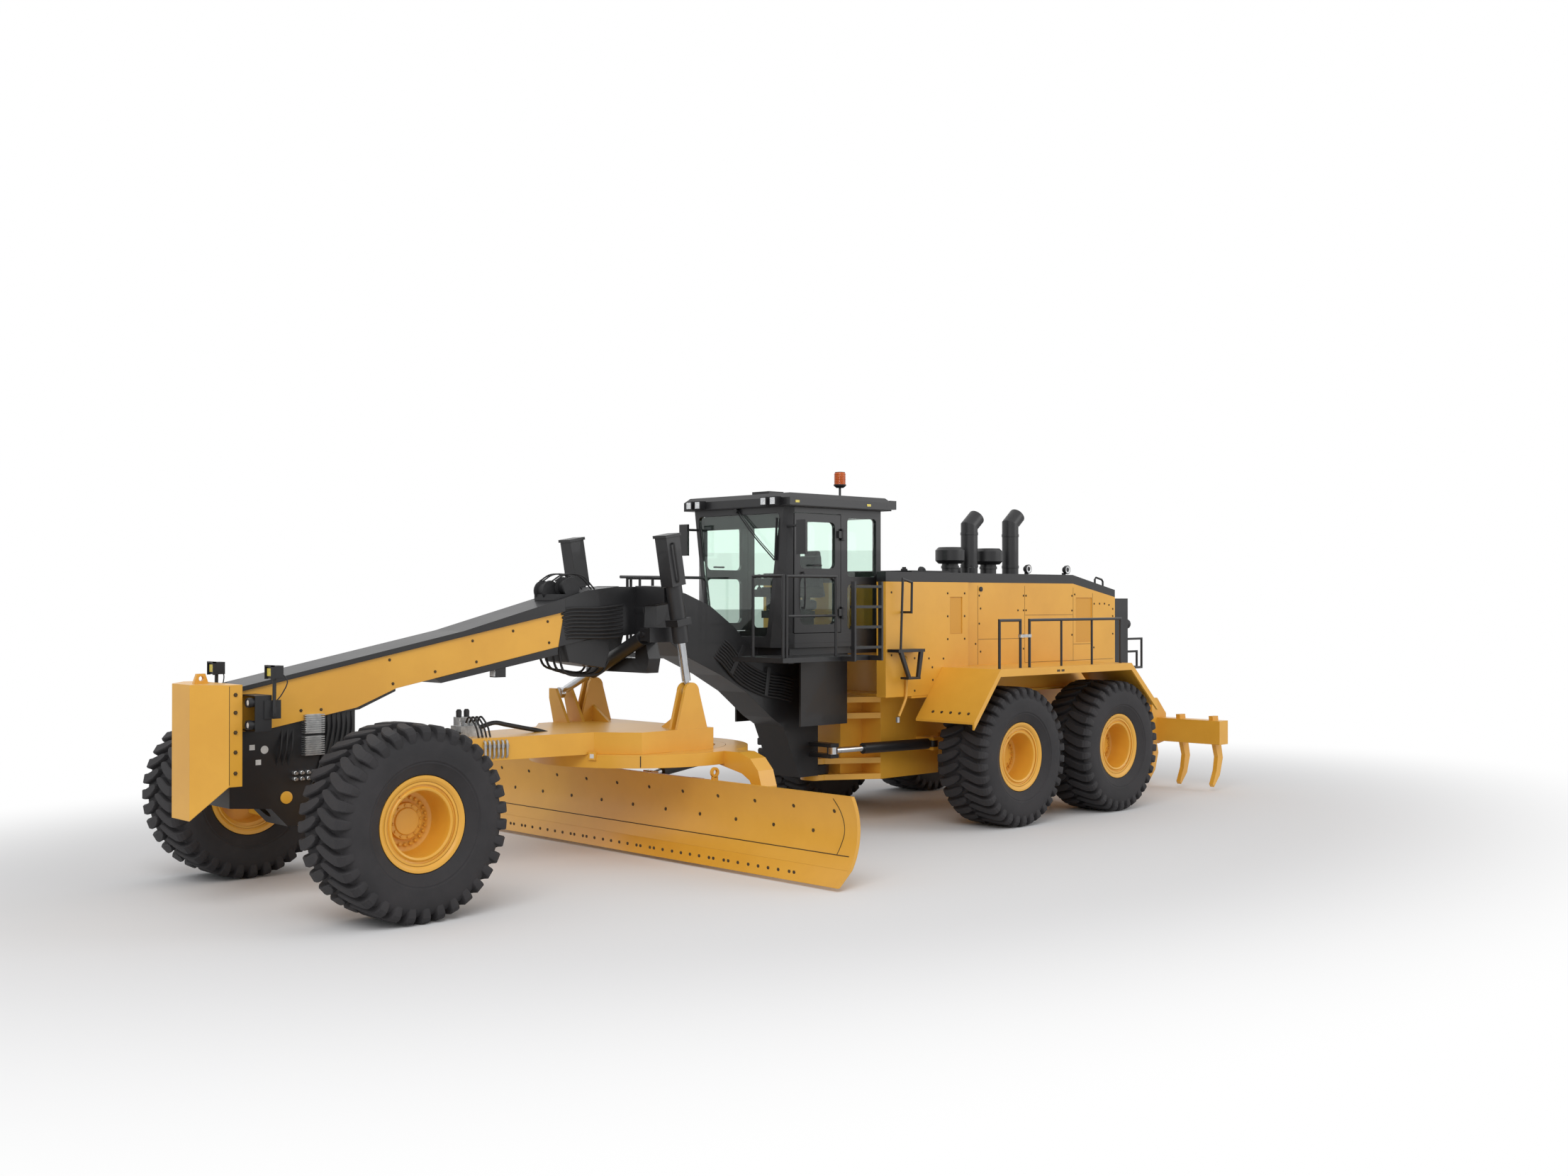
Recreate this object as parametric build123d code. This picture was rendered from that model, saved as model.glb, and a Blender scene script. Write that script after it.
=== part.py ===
from build123d import *
import math
import os

# A motor grader of the largest class. Sizes are in millimetres, +Z up, and the machine drives towards -Y.
# Distances along the machine are counted back from the front axle; send() shifts every piece so that
# the origin is on the ground under the middle of the machine's length.

# Layout
nose_reach = 1415
tail_reach = 14687
tandem_centre = 10278
tandem_spacing = 2285
track = 3465
pivot_y = 7300
seat_gap = 10
pin_play = 0.3
hinge_radius = 12

# Tyres and rims
tyre_radius = 932
tyre_width = 780
lug_height = 52
lug_count = 22
lug_share = 0.62
bead_radius = 372
flange_radius = 457
rim_width = 635
barrel_bore = 311
dish_depth = 350
disc_thickness = 40
stub_radius = 60

# Nose block and boom
nose_half = 197
nose_bottom = 910
nose_top = 2215
nose_cheek = 250
nose_flange_half = 500
nose_flange = 135
nose_flange_bottom = 1240
boom_half = 265
cover_half = 290

# Bolster and front axle
bolster_half = 230
bolster_foot = 770
bolster_leg = 155
bolster_rear = 320
trunnion_radius = 80
axle_head_radius = 240
axle_head_half = 140
beam_half_height = 110
beam_half_depth = 110
beam_reach = 1030
kingpin_x = 1290
kingpin_radius = 45
knuckle_radius = 85
knuckle_height = 300
fork_plate = 50
spindle_radius = 120
steer_arm = 300
steer_arm_width = 80
steer_drop = 50
tie_rod_radius = 32
tie_eye_radius = 45
tie_eye_height = 66

# Gooseneck and articulation hitch
neck_half = 270
hitch_radius = 190
hitch_pin_radius = 80
hitch_lug = 120
hitch_fork = 75
hitch_levels = (700, 1515)
neck_rear = pivot_y - 210
neck_top = ((5590, 2680), (5880, 2400), (6150, 2200), (6500, 1990), (neck_rear, 1950))
saddle_y = (3990, 4170)

# Drawbar, circle and blade
ball_y = 450
ball_z = 1350
ball_radius = 110
drawbar_top = 1520
drawbar_bottom = 1270
drawbar_tail = 4590
drawbar_half = 990
circle_y = 4270
circle_radius = 1316
circle_bore = 1050
circle_height = 150
circle_gap = 6
ring_play = 0.3
circle_arm_y = (4480, 4720)
circle_arm_x = (1790, 1930)
tip_y = 4600
tip_z = 450
tip_pin_radius = 50
blade_half = 3650
blade_thickness = 50
carrier_x = 900
carrier_half = 100
rail_half = 2600
rail_levels = ((300, 370), (820, 890))
rail_back = 4330
rail_gap = 0.3
edge_thickness = 30

# Cylinders
rod_play = 0.3
eye_pin = 28
ear_gap = 70
loose_gap = 190
lift_pivot = (910, 4060, 3080)
lift_eye = (910, 4260, 1950)
shift_pivot = (610, 3900, 2620)
shift_eye = (-1080, 3900, 1870)
tip_pivot = (0, 5320, 1020)
tip_eye = (0, 4440, 900)
bend_pivot = (840, 8750, 1060)
bend_eye = (620, 7000, 1060)
raise_pivot = (450, 13640, 1850)
raise_eye = (450, 14120, 860)
ear_thickness = 40
neck_length = 60
ear_play = 0.3

# Cab
cab_front = 5900
cab_rear = 7630
cab_half = 900
cab_shoulder = 5990
screen_top_half = 840
screen_low_half = 590
cab_floor = 2420
cab_top = 4190
cab_wall = 60
door_front = 6020
door_rear = 6870
door_bottom = 2600
door_top = 4120
door_gap = 8
glass_inset = 22
glass_thickness = 10
roof_half = 1000
roof_front = 5850
roof_rear = 7730
roof_top = 4360
platform_top = 2330
platform_half = 1500
platform_front = 5240
platform_rear = 6800

# Rear frame, hood and fenders
frame_half = 600
frame_front = 7960
frame_rear = 13330
frame_bottom = 1170
belly_rear = 9150
deck_half = 1145
hood_bottom = 1750
tank_half = 1150
tank_front = 7450
hood_split = 9250
hood_half = 1060
hood_top = 3260
hood_bend = 11700
hood_tail = 12800
hood_tail_top = 3060
hood_wall = 40
cover_thickness = 130
tail_thickness = 380
cab_swing = 1000
fender_outer = 2140
fender_sheet = 30
fender_lip = 70
fender_points = ((8040, 1420), (8590, 2085), (11620, 2085), (12290, 1480))
stack_radius = 125
stack_places = ((10580, 4340), (11570, 4400))
intake_places = (10135, 11030)
intake_top = 3790
axle_case_radius = 238
tandem_inner = 1050
tandem_outer = 1290
tandem_radius = 330
hub_radius = 250

# Ripper
ripper_pin_y = 13620
ripper_link = 640
ripper_low_z = 850
ripper_high_z = 1330
ripper_link_x = 750
ripper_half = 1950
shank_pitch = 590
shank_count = 7

middle = (tail_reach - nose_reach) / 2
axle_height = tyre_radius
wheel_x = track / 2
tandem_front = tandem_centre - tandem_spacing / 2
tandem_rear = tandem_centre + tandem_spacing / 2
nose_back = nose_cheek + nose_flange - nose_reach
disc_inner = rim_width / 2 - dish_depth - disc_thickness
ring_top = drawbar_bottom - ring_play

os.makedirs("parts", exist_ok=True)


def send(node, *shapes):
    """Writes one node, moved from the front axle's frame to the part's frame."""
    solids = [solid for shape in shapes for solid in shape.solids()]
    whole = Compound(solids) if len(solids) > 1 else solids[0]
    export_step(whole.moved(Location((0, -middle, 0))), f"parts/{node}.step")


def block(x, y, z):
    """A box from three (low, high) pairs."""
    size = (x[1] - x[0], y[1] - y[0], z[1] - z[0])
    return Pos((x[0] + x[1]) / 2, (y[0] + y[1]) / 2, (z[0] + z[1]) / 2) * Box(*size)


def side(points, x0, x1):
    """A plate whose outline is (y, z), from x0 to x1."""
    return extrude(Plane.YZ.offset(x0) * Polygon(*points, align=None), amount=x1 - x0, dir=(1, 0, 0))


def plan(points, z0, z1):
    """A plate whose outline is (x, y), from z0 to z1."""
    return extrude(Plane.XY.offset(z0) * Polygon(*points, align=None), amount=z1 - z0, dir=(0, 0, 1))


def front(points, y0, y1):
    """A plate whose outline is (x, z), from y0 to y1."""
    return extrude(Plane.XZ.offset(-y0) * Polygon(*points, align=None), amount=y1 - y0, dir=(0, 1, 0))


def bar(start, end, radius):
    """A round bar between two points."""
    run = Vector(*end) - Vector(*start)
    axis = Plane(origin=start, z_dir=run)
    return axis * Cylinder(radius, run.length, align=(Align.CENTER, Align.CENTER, Align.MIN))


def pipe(points, radius):
    """A bent rail with mitred corners."""
    path = Polyline(*points)
    section = Plane(origin=points[0], z_dir=Vector(*points[1]) - Vector(*points[0])) * Circle(radius)
    return sweep(section, path=path, transition=Transition.RIGHT)


def other(shape):
    """The same piece on the machine's right side."""
    return mirror(shape, about=Plane.YZ)


def lug_row(x0, x1, turn):
    """Half of the tread: a ring of lugs whose outline is a cog."""
    root, step = tyre_radius - lug_height, 2 * math.pi / lug_count
    points = []
    for k in range(lug_count):
        for share, radius in ((0, root), (0.06, tyre_radius), (lug_share - 0.06, tyre_radius), (lug_share, root)):
            angle = (k + share) * step + turn
            points.append((radius * math.sin(angle), radius * math.cos(angle)))
    return side(points, x0, x1)


def tyre():
    """A tyre about the X axis: the carcass and two rows of lugs, half a pitch apart."""
    half, bead = tyre_width / 2, rim_width / 2 - 22 - pin_play
    root = tyre_radius - lug_height
    outline = (
        (-bead, bead_radius), (-bead, flange_radius + 4), (-half, root - 160), (-half + 30, root - 20),
        (half - 30, root - 20), (half, root - 160), (bead, flange_radius + 4), (bead, bead_radius),
    )
    body = revolve(Plane.XY * Polygon(*outline, align=None), axis=Axis.X)
    core = Rot(0, 90, 0) * Cylinder(root - 40, 2 * tyre_width)
    for way in (-1, 1):
        ends = sorted((0, way * (half - 18)))
        body += lug_row(*ends, math.pi / lug_count if way > 0 else 0) - core
    return body


def wheel(node, x, y, outward):
    """One wheel: a tyre and a deep-dished rim at (x, y), its dish open towards outward."""
    place = Pos(x, y, axle_height)
    half = rim_width / 2
    disc = half - dish_depth
    bore = stub_radius + pin_play
    profile = (
        (disc - disc_thickness, bore), (disc, bore), (disc, barrel_bore), (half - 40, barrel_bore),
        (half - 15, barrel_bore + 30), (half - 70, bead_radius - 10), (half, flange_radius - 35),
        (half, flange_radius), (half - 22, flange_radius), (half - 22, bead_radius - 1),
        (-half + 22, bead_radius - 1), (-half + 22, flange_radius), (-half, flange_radius),
        (-half, flange_radius - 40), (-half + 60, barrel_bore + 25),
        (disc - disc_thickness, barrel_bore + 10),
    )
    rim = revolve(Plane.XY * Polygon(*profile, align=None), axis=Axis.X)
    if outward < 0:
        rim = Rot(0, 0, 180) * rim
    send("tyre_" + node, place * tyre_shape)
    send("rim_" + node, place * rim)


def disc(place, radius, width, axis):
    """A round eye about a point, its axis along X, Y or Z."""
    turn = {"X": (0, 90, 0), "Y": (90, 0, 0), "Z": (0, 0, 0)}[axis]
    return Pos(*place) * Cylinder(radius, width, rotation=turn)


def cylinder(pivot, end, radius, rod_radius, behind, ahead, inside, rod_eye, barrel_eye=None):
    """A barrel about pivot and a rod to end; behind and ahead are the barrel's reach each way."""
    run = Vector(*end) - Vector(*pivot)
    axis = Plane(origin=pivot, z_dir=run)
    grow = (Align.CENTER, Align.CENTER, Align.MIN)
    wall = radius - rod_radius
    barrel = axis * Pos(0, 0, -behind) * Cylinder(radius, behind + ahead, align=grow)
    if barrel_eye:
        barrel += axis * Cylinder(0.45 * barrel_eye[1], 10 - behind, align=grow)
        barrel += disc(pivot, *barrel_eye)
        barrel -= disc(pivot, eye_pin + pin_play, 2 * barrel_eye[1], barrel_eye[2])
    barrel -= axis * Pos(0, 0, wall - behind) * Cylinder(rod_radius + rod_play, behind + ahead, align=grow)
    first = ahead - inside
    shank = run.length - rod_eye[0] - neck_length
    rod = axis * Pos(0, 0, first) * Cylinder(rod_radius, shank - first, align=grow)
    rod += axis * Pos(0, 0, shank) * Cylinder(0.42 * rod_eye[1], rod_eye[0] + neck_length, align=grow)
    return barrel, rod + disc(end, *rod_eye)


def nose_block():
    """The push block: a flat face, slanted cheeks, a flange each side and a lifting eye."""
    back = nose_cheek - nose_reach
    outline = (
        (-nose_half, -nose_reach), (nose_half, -nose_reach), (nose_flange_half, back),
        (nose_flange_half, nose_back), (-nose_flange_half, nose_back), (-nose_flange_half, back),
    )
    body = plan(outline, nose_bottom, nose_top)
    low = nose_bottom - 10
    body -= side(((-nose_reach, low), (-nose_reach, nose_bottom), (back, nose_flange_bottom),
                  (nose_back, nose_flange_bottom), (nose_back, low)), -tyre_radius, tyre_radius)
    eye_y = 0.78 * nose_cheek - nose_reach
    ear = side(((eye_y - 75, nose_top - 5), (eye_y - 40, nose_top + 95), (eye_y + 40, nose_top + 95),
                (eye_y + 75, nose_top - 5)), -22, 22)
    return body + ear - disc((0, eye_y, nose_top + 48), 25, 100, "X")


def boom():
    """The yellow boom, a long box that rises to the rear."""
    outline = ((nose_back, 2120), (nose_back, 1745), (-680, 1750), (320, 1920), (780, 2100), (2870, 2490),
               (2950, 2890))
    return side(outline, -boom_half, boom_half)


def boom_cover():
    """The black cover along the top of the boom."""
    outline = ((nose_back, 2120), (nose_back, 2165), (1600, 2690), (2950, 3045), (2950, 2890))
    return side(outline, -cover_half, cover_half)


def gooseneck():
    """The black gooseneck, from the end of the boom down to the lugs of the articulation hitch."""
    outline = (
        (2950, 3045), (3260, 3130), (3700, 3180), (4460, 3180), (4780, 3100), (5180, 2950), *neck_top,
        (neck_rear, hitch_levels[0]), (6750, hitch_levels[0]), (6440, 1390), (6240, 1510), (5800, 1850),
        (5370, 2080), (4790, 2330), (4350, 2640), (3300, 2570), (2870, 2490), (2950, 2890),
    )
    body = side(outline, -neck_half, neck_half)
    for low in hitch_levels:
        body += block((-hitch_radius, hitch_radius), (neck_rear - 40, pivot_y), (low, low + hitch_lug))
        body += Pos(0, pivot_y, low + hitch_lug / 2) * Cylinder(hitch_radius, hitch_lug)
    for way in (-1, 1):
        reach = (way * (neck_half - 5), way * (bend_eye[0] + 60))
        for z in (bend_eye[2] - 95, bend_eye[2] + 45):
            body += block((min(reach), max(reach)), (bend_eye[1] - 90, bend_eye[1] + 60), (z, z + 50))
    return body - Pos(0, pivot_y, hitch_levels[0]) * Cylinder(hitch_pin_radius + pin_play, 3000)


def saddle():
    """The frame round the gooseneck that holds the lift cylinders and the centre-shift cylinder."""
    x, y, z = lift_pivot
    reach = x - 110
    arms = ((-reach, z - 90), (-450, z - 130), (-430, 2620), (-520, 2330), (-480, 2160), (480, 2160),
            (520, 2330), (430, 2620), (450, z - 130), (reach, z - 90), (reach, z + 90), (450, z + 110),
            (-450, z + 110), (-reach, z + 90))
    body = front(arms, *saddle_y)
    body -= block((-neck_half, neck_half), (saddle_y[0] - 10, saddle_y[1] + 10), (2330, z + 200))
    for way in (-1, 1):
        body -= bar((way * (reach - 90), y, z), (way * (reach + 10), y, z), 40 + pin_play)
        drum_x = way * (neck_half + 75)
        body += disc((drum_x, saddle_y[1], 2900), 185, 150, "X")
        body += side(((saddle_y[0] + 5, 2960), (saddle_y[0] + 5, 2230), (saddle_y[1] - 10, 2180), (4330, 2800),
                      (4350, 2960)), min(way * (neck_half + 40), way * (neck_half + 80)),
                     max(way * (neck_half + 40), way * (neck_half + 80)))
    x, y, z = shift_pivot
    body += block((400, x + 130), (saddle_y[0], saddle_y[1]), (z - 90, z + 80))
    body += block((x + 90, x + 130), (y - ear_gap / 2 - ear_thickness, saddle_y[0] + 5), (z - 90, z + 80))
    for inner in (y - ear_gap / 2 - ear_thickness, y + ear_gap / 2):
        body += block((x - 48, x + 100), (inner, inner + ear_thickness), (z - 75, z + 75))
    return body + disc(shift_pivot, eye_pin, ear_gap + 2 * ear_thickness + 40, "Y")


def bolster():
    """The black casting under the boom's front, which straddles the axle and holds the drawbar's socket."""
    top = axle_height + axle_head_radius + 40
    outline = (
        (nose_back, 1745), (-680, 1750), (bolster_rear, 1920), (bolster_rear, bolster_foot),
        (bolster_leg, bolster_foot), (bolster_leg, top), (-bolster_leg, top), (-bolster_leg, bolster_foot),
        (-420, bolster_foot), (-600, 960), (nose_back, 1000),
    )
    body = side(outline, -bolster_half, bolster_half)
    body += Pos(0, (bolster_rear + ball_y) / 2, ball_z) * Cylinder(
        ball_radius + 50, ball_y + 40 - bolster_rear, rotation=(90, 0, 0))
    body -= disc((0, 0, axle_height), trunnion_radius + pin_play, 2000, "Y")
    return body - Pos(0, ball_y, ball_z) * Sphere(ball_radius + pin_play)


def front_axle():
    """The front axle: a tapered beam with a round pivot head, its trunnion and a fork at each end."""
    top = axle_height + knuckle_height / 2 + 5
    low = axle_height - knuckle_height / 2 - 5
    outline = (
        (-beam_reach, low - fork_plate), (beam_reach, low - fork_plate), (beam_reach, top + fork_plate),
        (beam_reach - 250, axle_height + beam_half_height), (250 - beam_reach, axle_height + beam_half_height),
        (-beam_reach, top + fork_plate),
    )
    body = front(outline, -beam_half_depth, beam_half_depth)
    body += disc((0, 0, axle_height), axle_head_radius, 2 * axle_head_half, "Y")
    body += bar((0, -460, axle_height), (0, bolster_rear + 10, axle_height), trunnion_radius)
    for way in (-1, 1):
        reach = (way * (beam_reach - 20), way * kingpin_x)
        for z in (low - fork_plate, top):
            body += block((min(reach), max(reach)), (-knuckle_radius, knuckle_radius), (z, z + fork_plate))
            body += disc((way * kingpin_x, 0, z + fork_plate / 2), knuckle_radius, fork_plate, "Z")
        body += bar((way * kingpin_x, 0, low - 10), (way * kingpin_x, 0, top + 10), kingpin_radius)
    return body


def knuckle(way):
    """A steering knuckle: the kingpin's barrel, the spindle and the arm for the tie rod."""
    x = way * kingpin_x
    body = disc((x, 0, axle_height), knuckle_radius, knuckle_height, "Z")
    inner = wheel_x + disc_inner
    body += bar((x, 0, axle_height), (way * (inner - 5), 0, axle_height), spindle_radius)
    body += bar((x, 0, axle_height), (way * (inner + disc_thickness), 0, axle_height), stub_radius)
    low = axle_height - knuckle_height / 2 + 18
    half = steer_arm_width / 2
    body += block((x - half, x + half), (0, steer_arm), (low, low + steer_drop))
    body += disc((x, steer_arm, low), half, 2 * steer_drop, "Z")
    return body - disc((x, 0, axle_height), kingpin_radius + pin_play, 2 * knuckle_height, "Z")


def tie_rod():
    """The tie rod, with an eye under each steering arm."""
    low = axle_height - knuckle_height / 2 + 18 - steer_drop
    z = low - tie_eye_height / 2
    body = bar((-kingpin_x, steer_arm, z), (kingpin_x, steer_arm, z), tie_rod_radius)
    for way in (-1, 1):
        body += disc((way * kingpin_x, steer_arm, z), tie_eye_radius, tie_eye_height, "Z")
    return body


def drawbar():
    """The drawbar: its ball, the widening frame and the lift ears."""
    outline = (
        (-110, 560), (110, 560), (330, 1500), (560, 3150), (drawbar_half, 3500), (drawbar_half, drawbar_tail),
        (-drawbar_half, drawbar_tail), (-drawbar_half, 3500), (-560, 3150), (-330, 1500),
    )
    body = plan(outline, drawbar_bottom, drawbar_top)
    body += Pos(0, ball_y, ball_z) * Sphere(ball_radius)
    body += bar((0, ball_y, ball_z), (0, 600, ball_z + 20), ball_radius * 0.55)
    x, y, z = lift_eye
    outline = ((y - 230, drawbar_top - 5), (y + 240, drawbar_top - 5), (y + 105, z + 20), (y - 105, z + 20))
    for way in (-1, 1):
        for inner in (x - ear_gap / 2 - ear_thickness, x + ear_gap / 2):
            reach = (way * inner, way * (inner + ear_thickness))
            body += side(outline, min(reach), max(reach))
            body += disc((sum(reach) / 2, y, z), 110, ear_thickness, "X")
        reach = (way * (x - 420), way * (x - ear_gap / 2 - ear_thickness + 5))
        body += front(((reach[0], drawbar_top - 5), (reach[1], drawbar_top - 5), (reach[1], z - 230)),
                      y - 60, y - 60 + ear_thickness)
    x, y, z = shift_eye
    outline = ((x + 320, drawbar_top), (x + 70, z + 60), (x - 60, z + 60), (x - 60, z - 60),
               (x + 100, drawbar_bottom), (x + 320, drawbar_bottom))
    for inner in (y - loose_gap / 2 - ear_thickness, y + loose_gap / 2):
        body += front(outline, inner, inner + ear_thickness)
    return body


def circle_guide():
    """The round guide under the drawbar that centres the circle, in eight arcs."""
    ring = Cylinder(circle_bore - circle_gap, 110) - Cylinder(circle_bore - 130, 110)
    ring = Pos(0, circle_y, drawbar_bottom - 55) * ring
    reach = 2 * circle_radius
    arcs = []
    for k in range(8):
        corners = [(reach * math.cos(math.radians(angle)), circle_y + reach * math.sin(math.radians(angle)))
                   for angle in (45 * k, 45 * k + 45)]
        arcs.append(ring & plan(((0, circle_y), *corners), drawbar_bottom - 200, drawbar_bottom + 50))
    return arcs


def circle():
    """The circle: the ring under the drawbar with the two arms that carry the blade."""
    ring = Cylinder(circle_radius, circle_height) - Cylinder(circle_bore, circle_height)
    body = Pos(0, circle_y, ring_top - circle_height / 2) * ring
    low = ring_top - circle_height
    outline = (
        (1150, ring_top), (1560, ring_top), (1740, 1210), (1870, 1080), (circle_arm_x[1], 900),
        (circle_arm_x[1], tip_z - 110), (circle_arm_x[0], tip_z - 110), (circle_arm_x[0], 860), (1730, 960),
        (1600, 1030), (1150, low),
    )
    for way in (-1, 1):
        arm = front([(way * x, z) for x, z in outline], *circle_arm_y)
        arm += front([(way * x, z) for x, z in ((circle_arm_x[0], tip_z + 60), (circle_arm_x[1], tip_z + 60),
                                                (circle_arm_x[1], tip_z - 110), (circle_arm_x[0], tip_z - 110))],
                     *circle_arm_y)
        body += arm
        body -= disc((way * circle_arm_x[1], tip_y, tip_z), tip_pin_radius + pin_play, 400, "X")
    x, y, z = tip_pivot
    for way in (-1, 1):
        reach = (way * 40, way * (40 + ear_thickness))
        body += side(((y - 60, low + 5), (y + 140, low + 5), (y + 60, z - 60), (y - 60, z - 60)),
                     min(reach), max(reach))
    return body + disc(tip_pivot, eye_pin, 80 + 2 * ear_thickness + 30, "X")


def carrier():
    """The tilting carrier: the cross tube on its end pins, two slide clamps and the tip cylinder's ears."""
    end = circle_arm_x[0] - seat_gap
    body = bar((-end, tip_y, tip_z), (end, tip_y, tip_z), 75)
    body += bar((-circle_arm_x[1], tip_y, tip_z), (circle_arm_x[1], tip_y, tip_z), tip_pin_radius)
    low, high = rail_levels[0][0] - rail_gap, rail_levels[1][1] + rail_gap
    back = rail_back + rail_gap
    outline = (
        (back - 60, high), (back - 60, high + 40), (4440, high + 40), (tip_y + 60, tip_z + 60),
        (tip_y + 60, tip_z - 60), (4470, low - 40), (back - 60, low - 40), (back - 60, low), (back, low),
        (back, high),
    )
    for way in (-1, 1):
        body += side(outline, way * carrier_x - carrier_half, way * carrier_x + carrier_half)
        y, z = tip_eye[1:]
        reach = (way * 40, way * (40 + ear_thickness))
        body += side(((tip_y - 60, tip_z - 20), (tip_y + 60, tip_z + 20), (y + 60, z + 40), (y - 40, z + 50),
                      (y - 40, z - 60)), min(reach), max(reach))
    return body


def moldboard():
    """The curved moldboard with the two slide rails on its back."""
    top, belly, foot = (4130, 970), (4225, 620), (4100, 200)
    face = ThreePointArc(top, belly, foot)
    back = ThreePointArc((foot[0] + blade_thickness, foot[1]), (belly[0] + blade_thickness, belly[1]),
                         (top[0] + blade_thickness, top[1]))
    close = [Line(foot, (foot[0] + blade_thickness, foot[1])), Line((top[0] + blade_thickness, top[1]), top)]
    section = make_face([face, back, *close])
    body = extrude(Plane.YZ.offset(-blade_half) * section, amount=2 * blade_half, dir=(1, 0, 0))
    for low, high in rail_levels:
        body += block((-rail_half, rail_half), (4225, rail_back), (low, high))
    return body


def cutting_edge():
    """The cutting edge along the foot of the moldboard, with an end bit at each end."""
    outline = ((4100, 200), (4150, 200), (3960, 40), (3925, 40))
    return side(outline, -blade_half, blade_half)


def cab_block(inset, z0, z1):
    """The cab's solid outline drawn in by inset: the screen is narrower at its foot."""
    sections = []
    for z, half in ((cab_floor, screen_low_half), (cab_top, screen_top_half)):
        points = ((half, cab_front), (cab_half, cab_shoulder + 40), (cab_half, cab_rear))
        ring = [(x - inset, y + (inset if k < 1 else 0)) for k, (x, y) in enumerate(points)]
        ring[2] = (ring[2][0], cab_rear - inset)
        ring += [(-x, y) for x, y in reversed(ring)]
        sections.append(Plane.XY.offset(z) * Polygon(*ring, align=None))
    body = loft(sections, ruled=True)
    size = 4 * cab_half
    keep = Pos(0, (cab_front + cab_rear) / 2, (z0 + z1) / 2) * Box(size, size, z1 - z0)
    return body & keep


def window(points, x0, x1, corner):
    """A window's cutter with rounded corners, its outline (y, z)."""
    sketch = Polygon(*points, align=None)
    sketch = fillet(sketch.vertices(), corner)
    return extrude(Plane.YZ.offset(x0) * sketch, amount=x1 - x0, dir=(1, 0, 0))


def door_outline(gap):
    """The doorway drawn in by gap."""
    return ((door_front + gap, door_bottom + gap), (door_rear - gap, door_bottom + gap),
            (door_rear - gap, door_top - gap), (door_front + gap, door_top - gap))


def rear_panes():
    """The cutters of the rear side windows."""
    high = window(((6990, 3320), (7540, 3320), (7540, 4080), (6990, 4080)), 500, 1200, 60)
    low = window(((6990, 2640), (7540, 2640), (7540, 3220), (6990, 3220)), 500, 1200, 60)
    return [high, low, other(high), other(low)]


def end_panes():
    """The cutters of the windscreen and the rear window."""
    screen = Polygon((-screen_low_half - 20 + 80, 2560), (screen_low_half + 20 - 80, 2560),
                     (screen_top_half - 70, 4110), (70 - screen_top_half, 4110), align=None)
    screen = fillet(screen.vertices(), 60)
    ahead = extrude(Plane.XZ.offset(-5700) * screen, amount=400, dir=(0, 1, 0))
    rear = fillet(Polygon((-800, 2640), (800, 2640), (800, 4090), (-800, 4090), align=None).vertices(), 60)
    behind = extrude(Plane.XZ.offset(-7400) * rear, amount=500, dir=(0, 1, 0))
    return [ahead, behind]


def cab_parts():
    """The cab's shell, its glass, and one door with its panes."""
    walls = cab_block(0, cab_floor, cab_top) - cab_block(cab_wall, cab_floor + cab_wall, cab_top)
    layer = cab_block(glass_inset, cab_floor + 2, cab_top - 2)
    layer -= cab_block(glass_inset + glass_thickness, cab_floor, cab_top)
    doorway = side(door_outline(0), 500, 1200)
    panes = rear_panes() + end_panes()
    door = walls & side(door_outline(door_gap), 500, 1200)
    door_panes = [
        window(((door_front + 110, 3420), (door_rear - 110, 3420), (door_rear - 110, door_top - 110),
                (door_front + 110, door_top - 110)), 500, 1200, 70),
        window(((door_front + 110, door_bottom + 110), (door_rear - 110, door_bottom + 110),
                (door_rear - 110, 3300), (door_front + 110, 3300)), 500, 1200, 70),
    ]
    door_glass = [layer & pane for pane in door_panes]
    for pane in door_panes:
        door -= pane
    shell = walls - doorway - other(doorway)
    glass = [layer & pane for pane in panes]
    for pane in panes:
        shell -= pane
    return shell, glass, door, door_glass


def cab_frames(shell):
    """The shell parted into its floor, its front frame, its rear frame and the bands of its left side."""
    size = 4 * cab_half
    middle_y = (cab_front + cab_rear) / 2
    floor = shell & Pos(0, middle_y, cab_floor + cab_wall / 2) * Box(size, size, cab_wall)
    walls = shell & block((-size, size), (cab_front - size, cab_rear + size), (cab_floor + cab_wall, cab_top))
    ahead = walls & block((-size, size), (cab_front - size, cab_front + cab_wall), (cab_floor, cab_top))
    behind = walls & block((-size, size), (cab_rear - cab_wall, cab_rear + size), (cab_floor, cab_top))
    left = walls & block((0, size), (cab_front + cab_wall, cab_rear - cab_wall), (cab_floor, cab_top))
    sill = left & block((0, size), (cab_front, cab_rear), (cab_floor, door_bottom))
    header = left & block((0, size), (cab_front, cab_rear), (door_top, cab_top))
    pillar = left & block((0, size), (cab_front, door_front), (door_bottom, door_top))
    post = left & block((0, size), (door_front, cab_rear), (door_bottom, door_top))
    return [floor, ahead, behind], [sill, header, pillar], post


def door_hinges():
    """The left door's hinges: what stands on the cab, and the knuckles on the door."""
    x, y = cab_half + 22, door_rear + 4
    fixed, moving = [], []
    for z in (2860, 3860):
        pin = bar((x, y, z - 75), (x, y, z + 75), hinge_radius)
        for end in (z - 62, z + 62):
            pin += disc((x, y, end), 20, 26, "Z")
            pin += block((cab_half, x + 6), (y, y + 60), (end - 13, end + 13))
        fixed.append(pin)
        knuckle_z = disc((x, y, z), 20, 90, "Z") + block((cab_half, x + 6), (y - 70, y), (z - 45, z + 45))
        moving.append(knuckle_z - disc((x, y, z), hinge_radius + pin_play, 120, "Z"))
    return fixed, moving


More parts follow.
